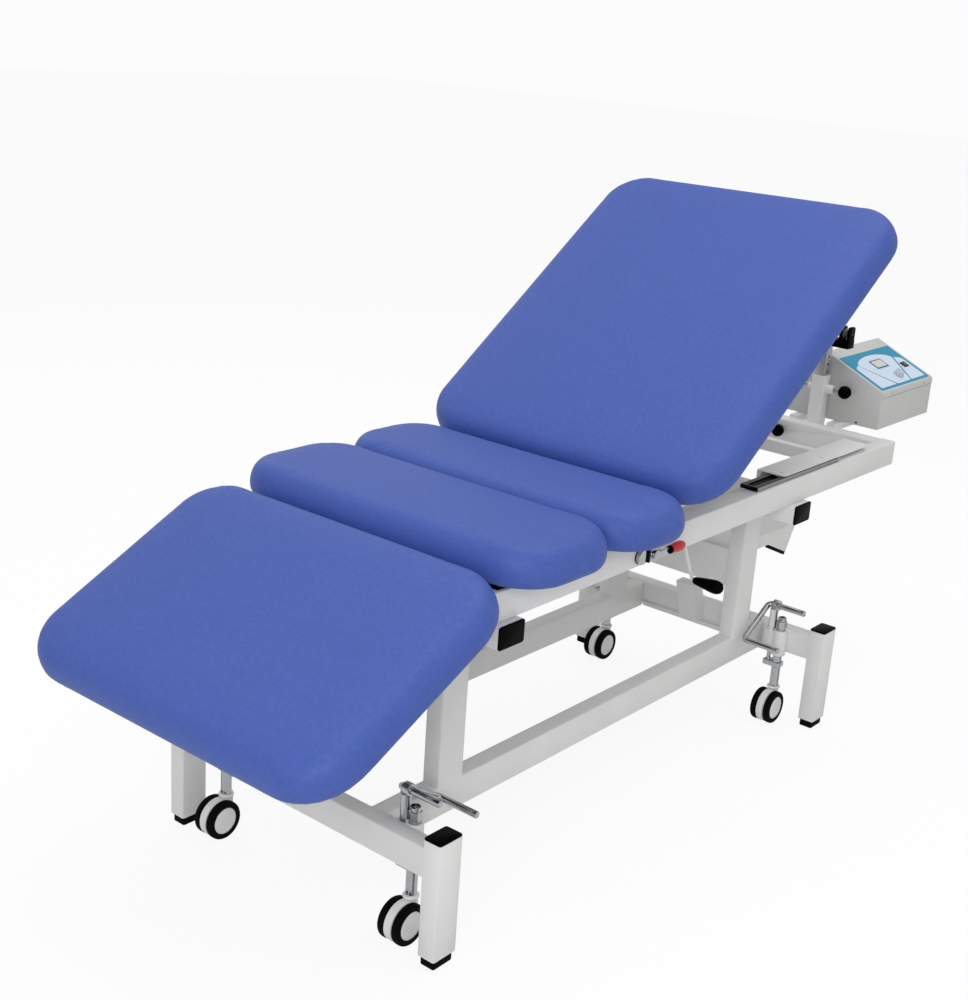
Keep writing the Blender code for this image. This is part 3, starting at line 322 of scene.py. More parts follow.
hub_grey, tree, shader, place = start("moulded light grey nylon", IOR=1.53)
flow = add(tree, "ShaderNodeTexNoise", {"Vector": place, "Scale": 1 / 0.008, "Detail": 4.0})
surfaced(tree, shader, flow.outputs["Fac"], ("#E0E1E0", "#EBECEA"), flow.outputs["Fac"], (0.34, 0.46))


def turn_in(bm, profile, at, along="z", sides=64, slot=0):
    """Adds a turned solid: profile of (radius, height) pairs from end to end about an axis through at."""
    swing = {"z": Matrix.Identity(3), "y": Matrix.Rotation(-math.pi / 2, 3, "X"),
             "x": Matrix.Rotation(math.pi / 2, 3, "Y")}
    turn = swing[along] if isinstance(along, str) else Vector(along).to_track_quat("Z", "Y").to_matrix()
    at = Vector(at)
    rings = []
    for radius, height in profile:
        count = sides if radius > 1e-6 else 1
        rings.append([bm.verts.new(at + turn @ Vector((radius * math.cos(2 * math.pi * k / sides),
                                                       radius * math.sin(2 * math.pi * k / sides), height)))
                      for k in range(count)])
    made = []
    for low, high in zip(rings, rings[1:]):
        for k in range(sides):
            m = (k + 1) % sides
            if len(low) == 1:
                made.append(bm.faces.new((low[0], high[m], high[k])))
            elif len(high) == 1:
                made.append(bm.faces.new((low[k], low[m], high[0])))
            else:
                made.append(bm.faces.new((low[k], low[m], high[m], high[k])))
    for ring in (rings[0], rings[-1]):
        if len(ring) > 1:
            made.append(bm.faces.new(ring))
    bmesh.ops.recalc_face_normals(bm, faces=made)
    for face in made:
        face.material_index = slot


def block_in(bm, lo, hi, edge, slot=0):
    """Adds a box with eased edges."""
    before = set(bm.faces)
    made = bmesh.ops.create_cube(bm, size=1.0)["verts"]
    lo, hi = Vector(lo), Vector(hi)
    spread = Matrix.Translation((lo + hi) / 2) @ Matrix.Diagonal((*(hi - lo), 1))
    bmesh.ops.transform(bm, matrix=spread, verts=made)
    if edge:
        bmesh.ops.bevel(bm, geom=list({e for v in made for e in v.link_edges}), offset=edge, segments=3,
                        profile=0.5, affect="EDGES")
    for face in set(bm.faces) - before:
        face.material_index = slot


WHEEL_R, AXLE_Z, TYRE_IN, TYRE_OUT, TRAIL = 0.040, 0.041, 0.0100, 0.0255, 0.022
for end in ("foot", "head"):
    for side in ("near", "far"):
        tag = side + "_" + end
        lo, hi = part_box("castor_hood_" + tag)
        stem_y = (lo.y + hi.y) / 2
        stem_x = sum(corner.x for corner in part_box("castor_stem_" + tag)) / 2
        axle = Vector((stem_x - TRAIL, stem_y, AXLE_Z))

        bm = bmesh.new()
        for way in (-1, 1):
            tyre = ((0.0290, TYRE_IN), (0.0365, TYRE_IN), (0.0392, TYRE_IN + 0.0012),
                    (WHEEL_R, TYRE_IN + 0.0040), (WHEEL_R, TYRE_OUT - 0.0060), (0.0395, TYRE_OUT - 0.0032),
                    (0.0382, TYRE_OUT - 0.0012), (0.0360, TYRE_OUT - 0.0002), (0.0310, TYRE_OUT),
                    (0.0284, TYRE_OUT - 0.0004), (0.0276, TYRE_OUT - 0.0022))
            turn_in(bm, [(r, way * h) for r, h in tyre], axle, "y", 72, 0)
            disc = ((0.0274, TYRE_IN + 0.004), (0.0274, TYRE_OUT - 0.0016), (0.0262, TYRE_OUT - 0.0006),
                    (0.0215, TYRE_OUT + 0.0002), (0.0150, TYRE_OUT + 0.0008), (0.0075, TYRE_OUT + 0.0012),
                    (0.0, TYRE_OUT + 0.0014))
            turn_in(bm, [(r, way * h) for r, h in disc], axle, "y", 72, 1)
        turn_in(bm, ((0.0040, -TYRE_IN - 0.001), (0.0040, TYRE_IN + 0.001)), axle, "y", 24, 2)
        settle("castor_tyres_" + tag, bm, [black_rubber, hub_grey, chrome_plate], "castor_wheels_" + tag)

        # The hood's rim reaches almost to the tread between the tyres and rises into the stem boss.
        bm = bmesh.new()
        rim = ((0.0240, -0.0092), (0.0370, -0.0092), (0.0390, -0.0080), (0.0394, 0.0), (0.0390, 0.0080),
               (0.0370, 0.0092), (0.0240, 0.0092))
        turn_in(bm, rim, axle, "y", 72)
        block_in(bm, (stem_x - 0.030, stem_y - 0.0092, 0.055), (stem_x + 0.0125, stem_y + 0.0092, 0.0806),
                 0.0040)
        boss = ((0.0086, 0.0700), (0.0090, 0.0720), (0.0090, 0.0800), (0.0128, 0.0818), (0.0152, 0.0826),
                (0.0158, 0.0836), (0.0156, 0.0862), (0.0146, 0.0877), (0.0115, 0.0882))
        turn_in(bm, boss, (stem_x, stem_y, 0.0), "z", 48)
        settle("castor_hood_shell_" + tag, bm, [white_nylon], "castor_hood_" + tag)

        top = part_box("castor_stem_" + tag)[1].z
        inner_y = math.copysign(POST_Y, stem_y)
        bm = bmesh.new()
        shank = ((0.0, 0.0590), (0.0046, 0.0595), (0.0048, 0.0885), (0.0100, 0.0886), (0.0110, 0.0896),
                 (0.0110, top - 0.0090), (0.0102, top - 0.0080), (0.0102, top - 0.0012), (0.0092, top),
                 (0.0062, top), (0.0058, top - 0.0060), (0.0, top - 0.0060))
        turn_in(bm, shank, (stem_x, stem_y, 0.0), "z", 40)
        collar = ((0.0112, top - 0.0238), (0.0132, top - 0.0230), (0.0132, top - 0.0090),
                  (0.0112, top - 0.0082))
        turn_in(bm, collar, (stem_x, stem_y, 0.0), "z", 6)
        ends = sorted((inner_y - math.copysign(0.009, stem_y), stem_y + math.copysign(0.013, stem_y)))
        block_in(bm, (stem_x - 0.012, ends[0], 0.1380), (stem_x + 0.012, ends[1], 0.1520), 0.0025)
        turn_in(bm, ((0.0, 0.1400), (0.0046, 0.1405), (0.0049, 0.1425), (0.0049, 0.2335), (0.0040, 0.2348),
                     (0.0, 0.2350)), (stem_x, inner_y, 0.0), "z", 24)
        settle("castor_stem_turned_" + tag, bm, [chrome_plate], "castor_stem_" + tag)

# Jack levers
# One bent bar of 14 mm bright chromed steel per castor; its short arm turns in the jack post,
# the long arm is pressed down or up with the foot to drop or lift the castor.


def bar_in(bm, points, radius, bend, sides=28, steps=10, slot=0):
    """Adds a round bar through corner points, each turned on the bend radius, with slightly domed ends."""
    points = [Vector(p) for p in points]
    path = [points[0]]
    for before, corner, after in zip(points, points[1:], points[2:]):
        away = (before - corner).normalized()
        ahead = (after - corner).normalized()
        half = away.angle(ahead) / 2
        middle = corner + (away + ahead).normalized() * bend / math.sin(half)
        first = corner + away * bend / math.tan(half) - middle
        last = corner + ahead * bend / math.tan(half) - middle
        axis = first.cross(last).normalized()
        for k in range(steps + 1):
            path.append(middle + Matrix.Rotation(first.angle(last) * k / steps, 3, axis) @ first)
    path.append(points[-1])
    across = (path[1] - path[0]).orthogonal().normalized()
    stations = []
    for i, point in enumerate(path):
        run = (path[min(i + 1, len(path) - 1)] - path[max(i - 1, 0)]).normalized()
        across = (across - run * across.dot(run)).normalized()
        if i == 0:
            stations += [(point, run, across, 0.70), (point + run * radius * 0.12, run, across, 0.92),
                         (point + run * radius * 0.35, run, across, 1.0)]
        elif i == len(path) - 1:
            stations += [(point - run * radius * 0.35, run, across, 1.0),
                         (point - run * radius * 0.12, run, across, 0.92), (point, run, across, 0.70)]
        else:
            stations.append((point, run, across, 1.0))
    rings = []
    for point, run, side, swell in stations:
        other = run.cross(side)
        rings.append([bm.verts.new(point + radius * swell * (math.cos(2 * math.pi * k / sides) * side
                                                            + math.sin(2 * math.pi * k / sides) * other))
                      for k in range(sides)])
    made = [bm.faces.new(rings[0]), bm.faces.new(rings[-1])]
    for low, high in zip(rings, rings[1:]):
        for k in range(sides):
            m = (k + 1) % sides
            made.append(bm.faces.new((low[k], low[m], high[m], high[k])))
    bmesh.ops.recalc_face_normals(bm, faces=made)
    for face in made:
        face.material_index = slot


LEVER_R, LEVER_BEND, LEVER_LONG, LEVER_DIP, PIVOT_Z = 0.007, 0.012, 0.126, math.radians(31), 0.292
LEVER_IN, LEVER_PIVOT_OUT, LEVER_GRIP_OUT = 0.213, 0.310, 0.308
for end, inward in (("foot", 1), ("head", -1)):
    for side, hand in (("near", -1), ("far", 1)):
        tag = side + "_" + end
        stem_x = sum(corner.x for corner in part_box("castor_stem_" + tag)) / 2
        far_x = stem_x + inward * LEVER_LONG * math.cos(LEVER_DIP)
        far_z = PIVOT_Z - LEVER_LONG * math.sin(LEVER_DIP)
        bm = bmesh.new()
        bar_in(bm, ((stem_x, hand * LEVER_PIVOT_OUT, PIVOT_Z), (stem_x, hand * LEVER_IN, PIVOT_Z),
                    (far_x, hand * LEVER_IN, far_z), (far_x, hand * LEVER_GRIP_OUT, far_z)),
               LEVER_R, LEVER_BEND)
        settle("jack_lever_bar_" + tag, bm, [chrome_plate], "jack_lever_" + tag)

# Slides and carriage
# Folded steel slides screwed to the side rails carry a welded carriage, which takes the back section with it.
# The slides are black oxide, with bare grey steel on the faces of their walls that turn outward or upward;
# the carriage and the ladder frames under the back and leg cushions are coated like the frame.

# Black oxide: a thin dark film on the steel, cloudy over about 10 mm, with a low metallic sheen.
black_oxide, tree, shader, place = start("black-oxidised steel", Metallic=1.0)
film = add(tree, "ShaderNodeTexNoise", {"Vector": place, "Scale": 1 / 0.010, "Detail": 5.0})
surfaced(tree, shader, film.outputs["Fac"], ("#0C0D0E", "#1E2022"), film.outputs["Fac"], (0.28, 0.46))

# Bare drawn steel on the faces of the slides' walls that turn outward or upward: grey, with a dull streaky
# sheen.
bare_wall_steel, tree, shader, place = start("drawn bare steel", Metallic=1.0)
streak = add(tree, "ShaderNodeTexNoise", {"Vector": place, "Scale": 1 / 0.015, "Detail": 5.0})
surfaced(tree, shader, streak.outputs["Fac"], ("#7E8182", "#A3A6A7"), streak.outputs["Fac"], (0.30, 0.46))

for node in ("slide_channel_near", "slide_channel_far"):
    lo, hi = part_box(node)
    bm = eased(node, 0.0008)
    for face in bm.faces:
        spot = face.calc_center_median()
        off = (spot.y - (lo.y + hi.y) / 2) / (hi.y - lo.y)
        # Faces of the outer walls that turn outward or upward take the bare grey steel; all other faces stay
        # black.
        outward_or_up_face = abs(off) > 0.40 and abs(face.normal.x) < 0.5 and off * face.normal.y + face.normal.z > 0.2
        face.material_index = 1 if outward_or_up_face else 0
    settle(node + "_coated", bm, [black_oxide, bare_wall_steel], node)

for node in ("carriage", "backrest_frame", "legrest_frame"):
    settle(node + "_coated", eased(node, 0.0008), [powder_coat], node)

# Gas springs
# A black enamelled cylinder and a chromed piston rod under each moving section. The cylinder ends in an
# eye on a cross pin at the frame, the rod in an eye at the section's lug.

# Enamel: deep gloss black, with a slight unevenness of the sprayed film over about 12 mm.
black_enamel, tree, shader, place = start("gloss black enamel", IOR=1.5)
film = add(tree, "ShaderNodeTexNoise", {"Vector": place, "Scale": 1 / 0.012, "Detail": 3.0})
surfaced(tree, shader, film.outputs["Fac"], ("#0E0E10", "#1C1C1F"), film.outputs["Fac"], (0.16, 0.28))

FOOT_X, HINGE_Z = -0.8800, 0.640
for name, anchor, hinge_x, lug, tilt, length, reach in (
        ("back_spring", (0.757, 0.545), 0.728, (0.400, -0.020), 35.2, 0.240, 0.300),
        ("leg_spring", (0.160, 0.560), 0.169, (-0.3496, -0.030), 27.0, 0.180, 0.220)):
    tilt = math.radians(tilt)
    pin = Vector((FOOT_X + anchor[0], 0.0, anchor[1]))
    eye = Vector((FOOT_X + hinge_x + lug[0] * math.cos(tilt) - lug[1] * math.sin(tilt), 0.0,
                  HINGE_Z + lug[0] * math.sin(tilt) + lug[1] * math.cos(tilt)))
    span = (eye - pin).length
    run = (eye - pin).normalized()
    bm = bmesh.new()
    turn_in(bm, ((0.0058, 0.008), (0.0100, 0.0130), (0.0110, 0.0150), (0.0110, length - 0.006),
                 (0.0100, length - 0.003), (0.0085, length), (0.0054, length)), pin, run, 40, 0)
    turn_in(bm, ((0.0080, -0.0100), (0.0115, -0.0095), (0.0115, 0.0095), (0.0080, 0.0100)), pin, "y", 40, 0)
    turn_in(bm, ((0.0030, -0.0170), (0.0040, -0.0160), (0.0040, 0.0160), (0.0030, 0.0170)), pin, "y", 24, 1)
    settle(name + "_tube", bm, [black_enamel, chrome_plate], name + "_cylinder")
    bm = bmesh.new()
    turn_in(bm, ((0.0040, span - reach), (0.0050, span - reach + 0.002), (0.0050, span - 0.012),
                 (0.0065, span - 0.011), (0.0065, span - 0.006), (0.0040, span - 0.004)), pin, run, 32)
    turn_in(bm, ((0.0055, -0.0070), (0.0078, -0.0062), (0.0078, 0.0062), (0.0055, 0.0070)), eye, "y", 32)
    settle(name + "_piston", bm, [chrome_plate], name + "_rod")

# Cushions
# Foam glued to plywood boards and covered in blue vinyl, pulled tight and stapled underneath,
# so the edges roll over evenly, the sides draw in below and the top stays slightly crowned.

# Upholstery vinyl: a pressed leather grain, drawn at 3 mm so that it shows from a step away, on uneven dye.
vinyl, tree, shader, place = start("blue upholstery vinyl", IOR=1.5, Specular_IOR_Level=0.30)
dye = add(tree, "ShaderNodeTexNoise", {"Vector": place, "Scale": 1 / 0.08, "Detail": 4.0})
grain = add(tree, "ShaderNodeTexVoronoi", {"Vector": place, "Scale": 1 / 0.003}).outputs["Distance"]
fleck = add(tree, "ShaderNodeTexNoise", {"Vector": place, "Scale": 1 / 0.008, "Detail": 4.0})
shade = add(tree, "ShaderNodeMix", {0: dye.outputs["Fac"], 6: linear("#4961B2"), 7: linear("#4F67B7")},
            data_type="RGBA")
worn = add(tree, "ShaderNodeMix", {0: fleck.outputs["Fac"], 6: linear("#3B54A2"), 7: shade.outputs[2]},
           data_type="RGBA")
gloss = add(tree, "ShaderNodeMapRange", {"Value": grain, "To Min": 0.44, "To Max": 0.60})
ripple = add(tree, "ShaderNodeBump", {"Height": grain, "Strength": 0.18, "Distance": 0.0004})
tree.links.new(worn.outputs[2], shader.inputs["Base Color"])
tree.links.new(gloss.outputs[0], shader.inputs["Roughness"])
tree.links.new(ripple.outputs[0], shader.inputs["Normal"])

# Dust cover: black spun cloth stapled over the board, with a loose felted texture.
dust_cover, tree, shader, place = start("black spunbond cloth", IOR=1.45)
felt = add(tree, "ShaderNodeTexNoise", {"Vector": place, "Scale": 1 / 0.003, "Detail": 8.0})
surfaced(tree, shader, felt.outputs["Fac"], ("#101010", "#2B2B2C"), felt.outputs["Fac"], (0.75, 0.95))

PAD_THICK, PAD_ROLL, PAD_TUCK, PAD_HEM = 0.070, 0.035, 0.020, 0.060
PAD_CROWN, CROWN_RUN, COVER_FULL, COVER_GIVE = 0.004, 0.070, 0.0022, 0.0018


def pad_in(bm, half_x, half_y, corner):
    """Adds a pad cut full for its cover: a tight tuck below, a soft roll above and a crowned top."""
    levels = [(PAD_HEM, 0.0), (PAD_HEM / 2, 0.0)]
    for step in range(10):
        swing = math.radians(-90 + 10 * step)
        levels.append((PAD_TUCK * (1 - math.cos(swing)), PAD_TUCK * (1 + math.sin(swing))))
    for step in range(1, 10):
        swing = math.radians(10 * step)
        levels.append((PAD_ROLL * (1 - math.cos(swing)), PAD_TUCK + (PAD_THICK - PAD_TUCK) * math.sin(swing)))
    for step in range(1, 9):
        rise = math.sin(math.pi / 2 * step / 8)
        levels.append((PAD_ROLL + CROWN_RUN * step / 8, PAD_THICK + PAD_CROWN * rise))
    loops = []
    for inset, height in levels:
        inset = inset - COVER_FULL
        reach = max(corner - inset, 0.006)
        loop = []
        for cx, cy, first in ((1, 1, 0), (-1, 1, 90), (-1, -1, 180), (1, -1, 270)):
            for k in range(17):
                angle = math.radians(first + 90 * k / 16)
                loop.append(bm.verts.new((cx * (half_x - inset - reach) + reach * math.cos(angle),
                                          cy * (half_y - inset - reach) + reach * math.sin(angle),
                                          height + (COVER_FULL if height > PAD_THICK / 2 else 0.0))))
        loops.append(loop)
    count = len(loops[0])
    for low, high in zip(loops, loops[1:]):
        for k in range(count):
            m = (k + 1) % count
            bm.faces.new((low[k], low[m], high[m], high[k]))
    bm.faces.new(loops[0])
    bm.faces.new(loops[-1])
    bmesh.ops.recalc_face_normals(bm, faces=bm.faces)


def evaluated(obj):
    """The mesh an object has after its modifiers, as a new mesh."""
    bpy.context.view_layer.update()
    return bpy.data.meshes.new_from_object(obj.evaluated_get(bpy.context.evaluated_depsgraph_get()))


PAD_HALF, PAD_CORNER, BACK_LONG, LEG_LONG = 0.388, 0.105, 0.899, 0.521
BOARD_Z, SEAT_Z, SKIN_STEP, SIM_STEPS = 0.0255, 0.6655, 0.006, 20
UNDERSIDE, FREE_ABOVE, HELD_BELOW = 0.002, 0.003, 0.004
back_at = Matrix.Translation((FOOT_X + 0.728, 0, HINGE_Z)) @ Matrix.Rotation(math.radians(-35.2), 4, "Y")
leg_at = Matrix.Translation((FOOT_X + 0.169, 0, HINGE_Z)) @ Matrix.Rotation(math.radians(-27.0), 4, "Y")
seat_at = Matrix.Translation((FOOT_X, 0, 0))
for node, at, middle_x, half_x, base in (
        ("backrest_cushion", back_at, 0.041 + BACK_LONG / 2, BACK_LONG / 2, BOARD_Z),
        ("legrest_cushion", leg_at, -0.004 - LEG_LONG / 2, LEG_LONG / 2, BOARD_Z),
        ("seat_cushion", seat_at, 0.58375, 0.12725, SEAT_Z),
        ("thigh_cushion", seat_at, 0.30975, 0.14375, SEAT_Z)):
    bm = bmesh.new()
    pad_in(bm, half_x, PAD_HALF, PAD_CORNER)
    rough = bpy.data.meshes.new(node + "_rough")
    bm.to_mesh(rough)
    bm.free()
    form = bpy.data.objects.new(node + "_form", rough)
    scene.collection.objects.link(form)
    even = form.modifiers.new("even", "REMESH")
    even.mode = "VOXEL"
    even.voxel_size = SKIN_STEP
    skin = evaluated(form)
    form.modifiers.clear()
    bm = bmesh.new()
    bm.from_mesh(skin)
    for turn in range(4):
        bmesh.ops.smooth_vert(bm, verts=[v for v in bm.verts if v.co.z > FREE_ABOVE], factor=0.5,
                              use_axis_x=True, use_axis_y=True, use_axis_z=True)
    bm.to_mesh(skin)
    bm.free()
    form.data = skin
    board = form.vertex_groups.new(name="board")
    board.add([v.index for v in skin.vertices if v.co.z < HELD_BELOW], 1.0, "REPLACE")
    cover = form.modifiers.new("cover", "CLOTH")
    cover.settings.quality = 4
    cover.settings.mass = 0.4
    cover.settings.bending_stiffness = 5.0
    cover.settings.vertex_group_mass = "board"
    cover.settings.use_pressure = True
    cover.settings.uniform_pressure_force = 4.0
    cover.settings.effector_weights.gravity = 0.0
    cover.point_cache.frame_start = 1
    cover.point_cache.frame_end = SIM_STEPS
    for step in range(1, SIM_STEPS + 1):
        scene.frame_set(step)
    blown = evaluated(form)
    form.modifiers.clear()
    for vertex, moved in zip(skin.vertices, blown.vertices):
        push = moved.co - vertex.co
        if push.length > 1e-7:
            vertex.co += push.normalized() * COVER_GIVE * math.tanh(push.length / COVER_GIVE)
    bpy.data.meshes.remove(blown)
    scene.frame_set(1)
    bm = bmesh.new()
    bm.from_mesh(skin)
    for face in bm.faces:
        spot = face.calc_center_median()
        inside = abs(spot.x) < half_x - PAD_HEM and abs(spot.y) < PAD_HALF - PAD_HEM
        face.material_index = 1 if spot.z < UNDERSIDE and inside else 0
    bmesh.ops.transform(bm, matrix=at @ Matrix.Translation((middle_x, 0, base)), verts=bm.verts)
    bpy.data.objects.remove(form)
    piece = settle(node + "_upholstered", bm, [vinyl, dust_cover], node, crease=180.0)

# Traction head
# A bracket welded from plate and tube behind the head rail holds a holed sliding mast, locked by a spring
# plunger; the moulded pulley head on the mast carries the traction rope over a small sheave.

# Zinc plate: pale and half dull, with a fine bloom of about 3 mm.
zinc, tree, shader, place = start("bright zinc plate", Metallic=1.0)
bloom = add(tree, "ShaderNodeTexNoise", {"Vector": place, "Scale": 1 / 0.003, "Detail": 3.0})
surfaced(tree, shader, bloom.outputs["Fac"], ("#ADB0B2", "#C6C8C9"), bloom.outputs["Fac"], (0.40, 0.55))

# Acetal and ABS: even, slightly waxy greys with faint flow marks.
greys = []
for name, dark, light in (("dark grey acetal", "#3A3C40", "#484A4E"),
                          ("light grey moulded ABS", "#BEC2CE", "#C7CBD6")):
    grey, tree, shader, place = start(name, IOR=1.5)
    flow = add(tree, "ShaderNodeTexNoise", {"Vector": place, "Scale": 1 / 0.006, "Detail": 3.0})
    surfaced(tree, shader, flow.outputs["Fac"], (dark, light), flow.outputs["Fac"], (0.36, 0.48))
    greys.append(grey)

mast = Vector((FOOT_X + 1.7686, -0.067, 0.0))
plunger_at = mast + Vector((0, 0, 0.741))
bm = eased("head_bracket", 0.0010)
turn_in(bm, ((0.0, 0.0300), (0.0048, 0.0300), (0.0048, 0.0440), (0.0038, 0.0450), (0.0, 0.0450)),
        plunger_at, "y", 28, 1)
settle("head_bracket_coated", bm, [powder_coat, chrome_plate], "head_bracket")

# Painted shade: the faces inside the tube's outer walls, including the bores of the drilled height holes, are
# given black oxide for the dark within the holes.
bm = eased("mast_tube", 0.0005)
for face in bm.faces:
    off = face.calc_center_median() - mast
    face.material_index = 1 if max(abs(off.x), abs(off.y)) < 0.0132 and abs(face.normal.z) < 0.99 else 0
settle("mast_tube_finished", bm, [zinc, black_oxide], "mast_tube")

settle("pulley_head_finished", eased("pulley_head", 0.0010), [black_plastic], "pulley_head")

bm = bmesh.new()
turn_in(bm, ((0.0, -0.0146), (0.0050, -0.0146), (0.0050, -0.0600), (0.0, -0.0600)), plunger_at, "y", 28, 0)
BALL_R, BALL_OUT = 0.017, -0.070
ball = [(BALL_R * math.sin(math.pi * k / 24), BALL_OUT - BALL_R * math.cos(math.pi * k / 24))
        for k in range(25)]
turn_in(bm, ball, plunger_at, "y", 40, 1)
settle("mast_plunger_turned", bm, [chrome_plate, black_plastic], "mast_plunger")

bm = bmesh.new()
turn_in(bm, ((0.0, -0.0155), (0.0024, -0.0155), (0.0024, -0.0062), (0.0132, -0.0062), (0.0135, -0.0056),
             (0.0128, -0.0040), (0.0108, -0.0022), (0.0100, 0.0), (0.0108, 0.0022), (0.0128, 0.0040),
             (0.0135, 0.0056), (0.0132, 0.0062), (0.0024, 0.0062), (0.0024, 0.0155), (0.0, 0.0155)),
        (mast.x, -0.1215, 0.891), "y", 48)
settle("pulley_sheave_moulded", bm, [greys[0]], "pulley_sheave")

bm = bmesh.new()
turn_in(bm, ((0.0, 0.025), (0.0040, 0.025), (0.0040, -0.0003), (0.0090, -0.0003), (0.0092, -0.0060),
             (0.0140, -0.0074), (0.0156, -0.0092), (0.0160, -0.0120), (0.0160, -0.0170), (0.0154, -0.0200),
             (0.0136, -0.0224), (0.0080, -0.0235), (0.0, -0.0238)), (FOOT_X + 1.710, 0.0, 0.622), "x", 48)
settle("head_rail_knob_moulded", bm, [black_plastic], "head_rail_knob")

# Traction console
# A folded sheet-steel case, grey powder-coated, with a screwed-on lid; the sloping panel carries a printed
# polyester overlay, a small liquid crystal display, a moulded dial and a rocker switch.

# Textured powder coat: greyer than the frame's, with a finer and duller peel of about 2 mm.
case_coat, tree, shader, place = start("light grey textured powder coat", IOR=1.5)
film = add(tree, "ShaderNodeTexNoise", {"Vector": place, "Scale": 1 / 0.06, "Detail": 3.0})
peel = add(tree, "ShaderNodeTexNoise", {"Vector": place, "Scale": 1 / 0.002, "Detail": 2.0})
surfaced(tree, shader, film.outputs["Fac"], ("#C5C6C4", "#CFD0CD"), peel.outputs["Fac"], (0.45, 0.58),
         0.14, 0.0004)

# Printed polyester: even ink under a matt film, with a very fine dot screen, drawn at 4 mm to show at all.
inks = []
for name, dark, light in (("teal printed polyester", "#218DB2", "#2490B5"),
                          ("pale blue printed polyester", "#D1E1F3", "#D4E4F5"),
                          ("display glass", "#CFD4CB", "#D9DDD2"),
                          ("dark blue printed polyester", "#3F5F8F", "#486897")):
    ink, tree, shader, place = start(name, IOR=1.55, Specular_IOR_Level=0.3)
    dots = add(tree, "ShaderNodeTexNoise", {"Vector": place, "Scale": 1 / 0.004, "Detail": 2.0})
    surfaced(tree, shader, dots.outputs["Fac"], (dark, light), dots.outputs["Fac"], (0.46, 0.52))
    inks.append(ink)

CASE_FOOT, CASE_HEAD, CASE_NEAR, CASE_NEAR_TOP = FOOT_X + 1.790, FOOT_X + 2.090, -0.230, 0.756
PANEL_RISE, PANEL_RUN = 0.076, 0.170
bm = eased("console_case", 0.0018)
block_in(bm, (CASE_FOOT + 0.002, CASE_NEAR - 0.0014, CASE_NEAR_TOP - 0.0155),
         (CASE_HEAD - 0.002, CASE_NEAR + 0.0004, CASE_NEAR_TOP - 0.0020), 0.0004)
block_in(bm, (CASE_FOOT + 0.003, CASE_NEAR - 0.0003, CASE_NEAR_TOP - 0.0167),
         (CASE_HEAD - 0.003, CASE_NEAR + 0.0004, CASE_NEAR_TOP - 0.0153), 0.0001, 1)
settle("console_case_folded", bm, [case_coat, black_oxide], "console_case")

panel = (Matrix.Translation((CASE_FOOT, CASE_NEAR, CASE_NEAR_TOP))
         @ Matrix.Rotation(math.atan2(PANEL_RISE, PANEL_RUN), 4, "X"))


def film_in(bm, corners, radius, low, high, slot):
    """Adds a thin flat sheet on the panel with rounded corners, from height low to high."""
    corners = [Vector(c) for c in corners]
    outline = []
    for i, corner in enumerate(corners):
        back = (corners[i - 1] - corner).normalized()
        ahead = (corners[(i + 1) % len(corners)] - corner).normalized()
        for k in range(7):
            t = k / 6
            a, b = corner + back * radius, corner + ahead * radius
            outline.append(a * (1 - t) ** 2 + corner * 2 * t * (1 - t) + b * t ** 2)
    rings = [[bm.verts.new((p.x, p.y, z)) for p in outline] for z in (low, high)]
    made = [bm.faces.new(rings[0]), bm.faces.new(rings[1])]
    for k in range(len(outline)):
        m = (k + 1) % len(outline)
        made.append(bm.faces.new((rings[0][k], rings[0][m], rings[1][m], rings[1][k])))
    bmesh.ops.recalc_face_normals(bm, faces=made)
    for face in made:
        face.material_index = slot


def printed(*spots):
    """Places on the overlay, given as shares of its width and depth, in metres on the panel."""
    return [(0.010 + 0.280 * a, 0.006 + 0.144 * b) for a, b in spots]


bm = bmesh.new()
arc = [(0.48 + 0.345 * math.cos(math.radians(a)), 0.66 + 0.22 * math.sin(math.radians(a)))
       for a in range(10, 171, 10)]
for spots, radius, low, high, slot in (
        (((0, 0), (1, 0), (1, 1), (0, 1)), 0.002, 0.0002, 0.0006, 0),
        (((0.045, 0.055), (0.345, 0.055), (0.125, 0.72), (0.045, 0.645)), 0.004, 0.0006, 0.0008, 1),
        (((0.665, 0.060), (0.955, 0.060), (0.955, 0.60), (0.925, 0.64), (0.848, 0.69)), 0.004, 0.0006,
         0.0008, 1),
        (((0.372, 0.055), (0.640, 0.055), *arc), 0.0025, 0.0006, 0.0008, 1),
        (((0.365, 0.505), (0.595, 0.505), (0.595, 0.735), (0.365, 0.735)), 0.0015, 0.0008, 0.0018, 3),
        (((0.382, 0.535), (0.578, 0.535), (0.578, 0.710), (0.382, 0.710)), 0.0008, 0.0018, 0.0020, 2)):
    film_in(bm, printed(*spots), radius, low, high, slot)
for low, high in (((0.2368, 0.0591), (0.2632, 0.0615)), ((0.2368, 0.0765), (0.2632, 0.0789)),
                  ((0.2368, 0.0591), (0.2390, 0.0789)), ((0.2610, 0.0591), (0.2632, 0.0789))):
    block_in(bm, (*low, 0.0006), (*high, 0.0022), 0.0004, 4)
bmesh.ops.transform(bm, matrix=panel, verts=bm.verts)
settle("console_overlay", bm, [*inks, black_plastic], "console_case", instead=False)

bm = bmesh.new()
turn_in(bm, ((0.0, -0.0180), (0.0030, -0.0180), (0.0030, 0.0010), (0.0128, 0.0010), (0.0132, 0.0018),
             (0.0130, 0.0040), (0.0114, 0.0120), (0.0108, 0.0134), (0.0095, 0.0140), (0.0, 0.0142)),
        (0.163, 0.041, 0.0), "z", 56)
block_in(bm, (0.1623, 0.0430, 0.0138), (0.1637, 0.0502, 0.0146), 0.0002, 1)
bmesh.ops.transform(bm, matrix=panel, verts=bm.verts)
settle("control_knob_moulded", bm, [greys[1], black_plastic], "control_knob")

